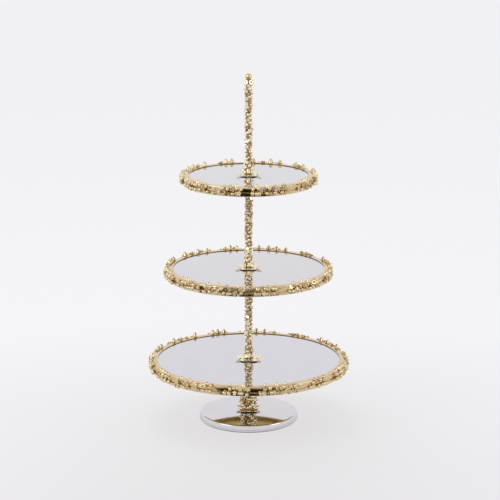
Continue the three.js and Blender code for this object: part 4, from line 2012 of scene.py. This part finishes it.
@dataclass
class Studio:
    """Pale sweep, soft lights, dark flags on the floor in front of the stand, and the camera.

    Attributes:
        focal: Lens on a 36 mm sensor, in millimetres.
        pitch: How far the camera looks down, in degrees.
        distance: Camera in front of the stem.
        eye: Camera height.
        aside: Camera to the right of the stem.
        ambient: Strength of the surroundings as light on matt surfaces.
        aim: The point that the lights face.
        flag_width: Width of a flag.
        flag_reaches: Where each flag starts and ends in front of the stem.
        flag_height: Height of the flags over the floor.
    """

    focal: float = 138.6
    pitch: float = 13.5
    distance: float = 2.861
    eye: float = 0.955
    aside: float = 0.0021
    ambient: float = 0.8
    aim: tuple[float, float, float] = (0, 0, 0.25)
    flag_width: float = 3.2
    flag_reaches: tuple[tuple[float, float], ...] = ((0.36, 0.52), (0.80, 1.04), (1.40, 3.50))
    flag_height: float = 2 * MM

    def build(self) -> None:
        """Build the floor, world, lights, flags and camera."""
        self._floor()
        self._world()
        self._light("key_left", (-1.5, -0.9, 1.3), width=1.0, height=1.2, power=8, mirrored=True)
        self._light("fill_right", (1.7, -0.7, 1.0), width=0.8, height=1.0, power=4, mirrored=True)
        self._light("overhead", (-0.3, 0.6, 2.2), width=0.9, height=0.9, power=9, mirrored=False)
        for number, (near, far) in enumerate(self.flag_reaches):
            self._flag(f"table_flag_{number}", near, far)
        self._camera()
        bpy.context.scene.view_settings.view_transform = "Standard"

    def _floor(self) -> None:
        """Wide flat sweep."""
        shape = bmesh.new()
        bmesh.ops.create_grid(shape, x_segments=1, y_segments=1, size=14)
        self._sheet("sweep", shape, SWEEP)

    def _world(self) -> None:
        """Even pale surroundings, a little dimmer as light than as seen."""
        world = bpy.data.worlds.new("studio")
        world.use_nodes = True
        tree = world.node_tree
        tree.nodes.clear()
        path = add_node(tree, "ShaderNodeLightPath")
        seen = add_node(tree, "ShaderNodeBackground", {"Color": linear("#F3F3F5"), "Strength": 1.0})
        glow = add_node(tree, "ShaderNodeBackground", {"Color": linear("#FBFAFC"), "Strength": self.ambient})
        links = {0: path.outputs["Is Diffuse Ray"], 1: seen.outputs[0], 2: glow.outputs[0]}
        mixed = add_node(tree, "ShaderNodeMixShader", links=links)
        add_node(tree, "ShaderNodeOutputWorld", links={"Surface": mixed.outputs[0]})
        bpy.context.scene.world = world

    def _light(
        self,
        name: str,
        place: tuple[float, float, float],
        width: float,
        height: float,
        power: float,
        mirrored: bool,
    ) -> None:
        """A softbox that faces the middle of the stand.

        Args:
            name: The light's name.
            place: Its middle.
            width: Its width.
            height: Its height.
            power: Its power in watts.
            mirrored: Whether the metal shows its reflection.
        """
        lamp = bpy.data.lights.new(name, "AREA")
        lamp.shape = "RECTANGLE"
        lamp.size = width
        lamp.size_y = height
        lamp.energy = power
        lit = bpy.data.objects.new(name, lamp)
        bpy.context.scene.collection.objects.link(lit)
        lit.location = place
        way = Vector(self.aim) - Vector(place)
        lit.rotation_euler = way.to_track_quat("-Z", "Y").to_euler()
        lit.visible_glossy = mirrored

    def _flag(self, name: str, near: float, far: float) -> None:
        """A dark card on the floor that only shows as the dark part of a reflection.

        Args:
            name: The card's name.
            near: Where it starts in front of the stem.
            far: Where it ends.
        """
        shape = bmesh.new()
        bmesh.ops.create_grid(shape, x_segments=1, y_segments=1, size=0.5)
        bmesh.ops.scale(shape, vec=(self.flag_width, far - near, 1), verts=shape.verts)
        middle = (0, -(near + far) / 2, self.flag_height)
        bmesh.ops.translate(shape, vec=middle, verts=shape.verts)
        card = self._sheet(name, shape, VELVET)
        card.visible_camera = False
        card.visible_diffuse = False
        card.visible_shadow = False

    def _sheet(self, name: str, shape: bmesh.types.BMesh, finish: Finish) -> bpy.types.Object:
        """Turn a shape into a part of the studio.

        Args:
            name: Its name.
            shape: Its shape, which is freed.
            finish: Its finish.

        Returns:
            The new object.
        """
        mesh = bpy.data.meshes.new(name)
        shape.to_mesh(mesh)
        shape.free()
        mesh.materials.append(finish.material())
        made = bpy.data.objects.new(name, mesh)
        bpy.context.scene.collection.objects.link(made)
        return made

    def _camera(self) -> None:
        """Long lens, a little above the top tray and looking slightly down."""
        lens = bpy.data.cameras.new("camera")
        lens.lens = self.focal
        lens.sensor_width = 36
        lens.clip_end = 60
        camera = bpy.data.objects.new("camera", lens)
        bpy.context.scene.collection.objects.link(camera)
        camera.location = (self.aside, -self.distance, self.eye)
        camera.rotation_euler = (math.radians(90 - self.pitch), 0, 0)
        bpy.context.scene.camera = camera


def main() -> None:
    """Build the studio and every sub-assembly."""
    Studio().build()
    kit = BlossomKit()
    Foot(kit).build()
    Tray("bottom", kit, sprays=7, phase=-7, seed=11).build()
    Tray("middle", kit, sprays=6, phase=1, seed=12).build()
    Tray("top", kit, sprays=5, phase=-3.5, seed=13).build()
    StemSection("lower_stem", "lower_stem", "lower_collar", kit, seed=21).build()
    StemSection("upper_stem", "upper_stem", "upper_collar", kit, seed=22).build()
    Handle("handle", "handle", "top_collar", kit, seed=23).build()
    kit.put_away()


if __name__ == "__main__":
    main()
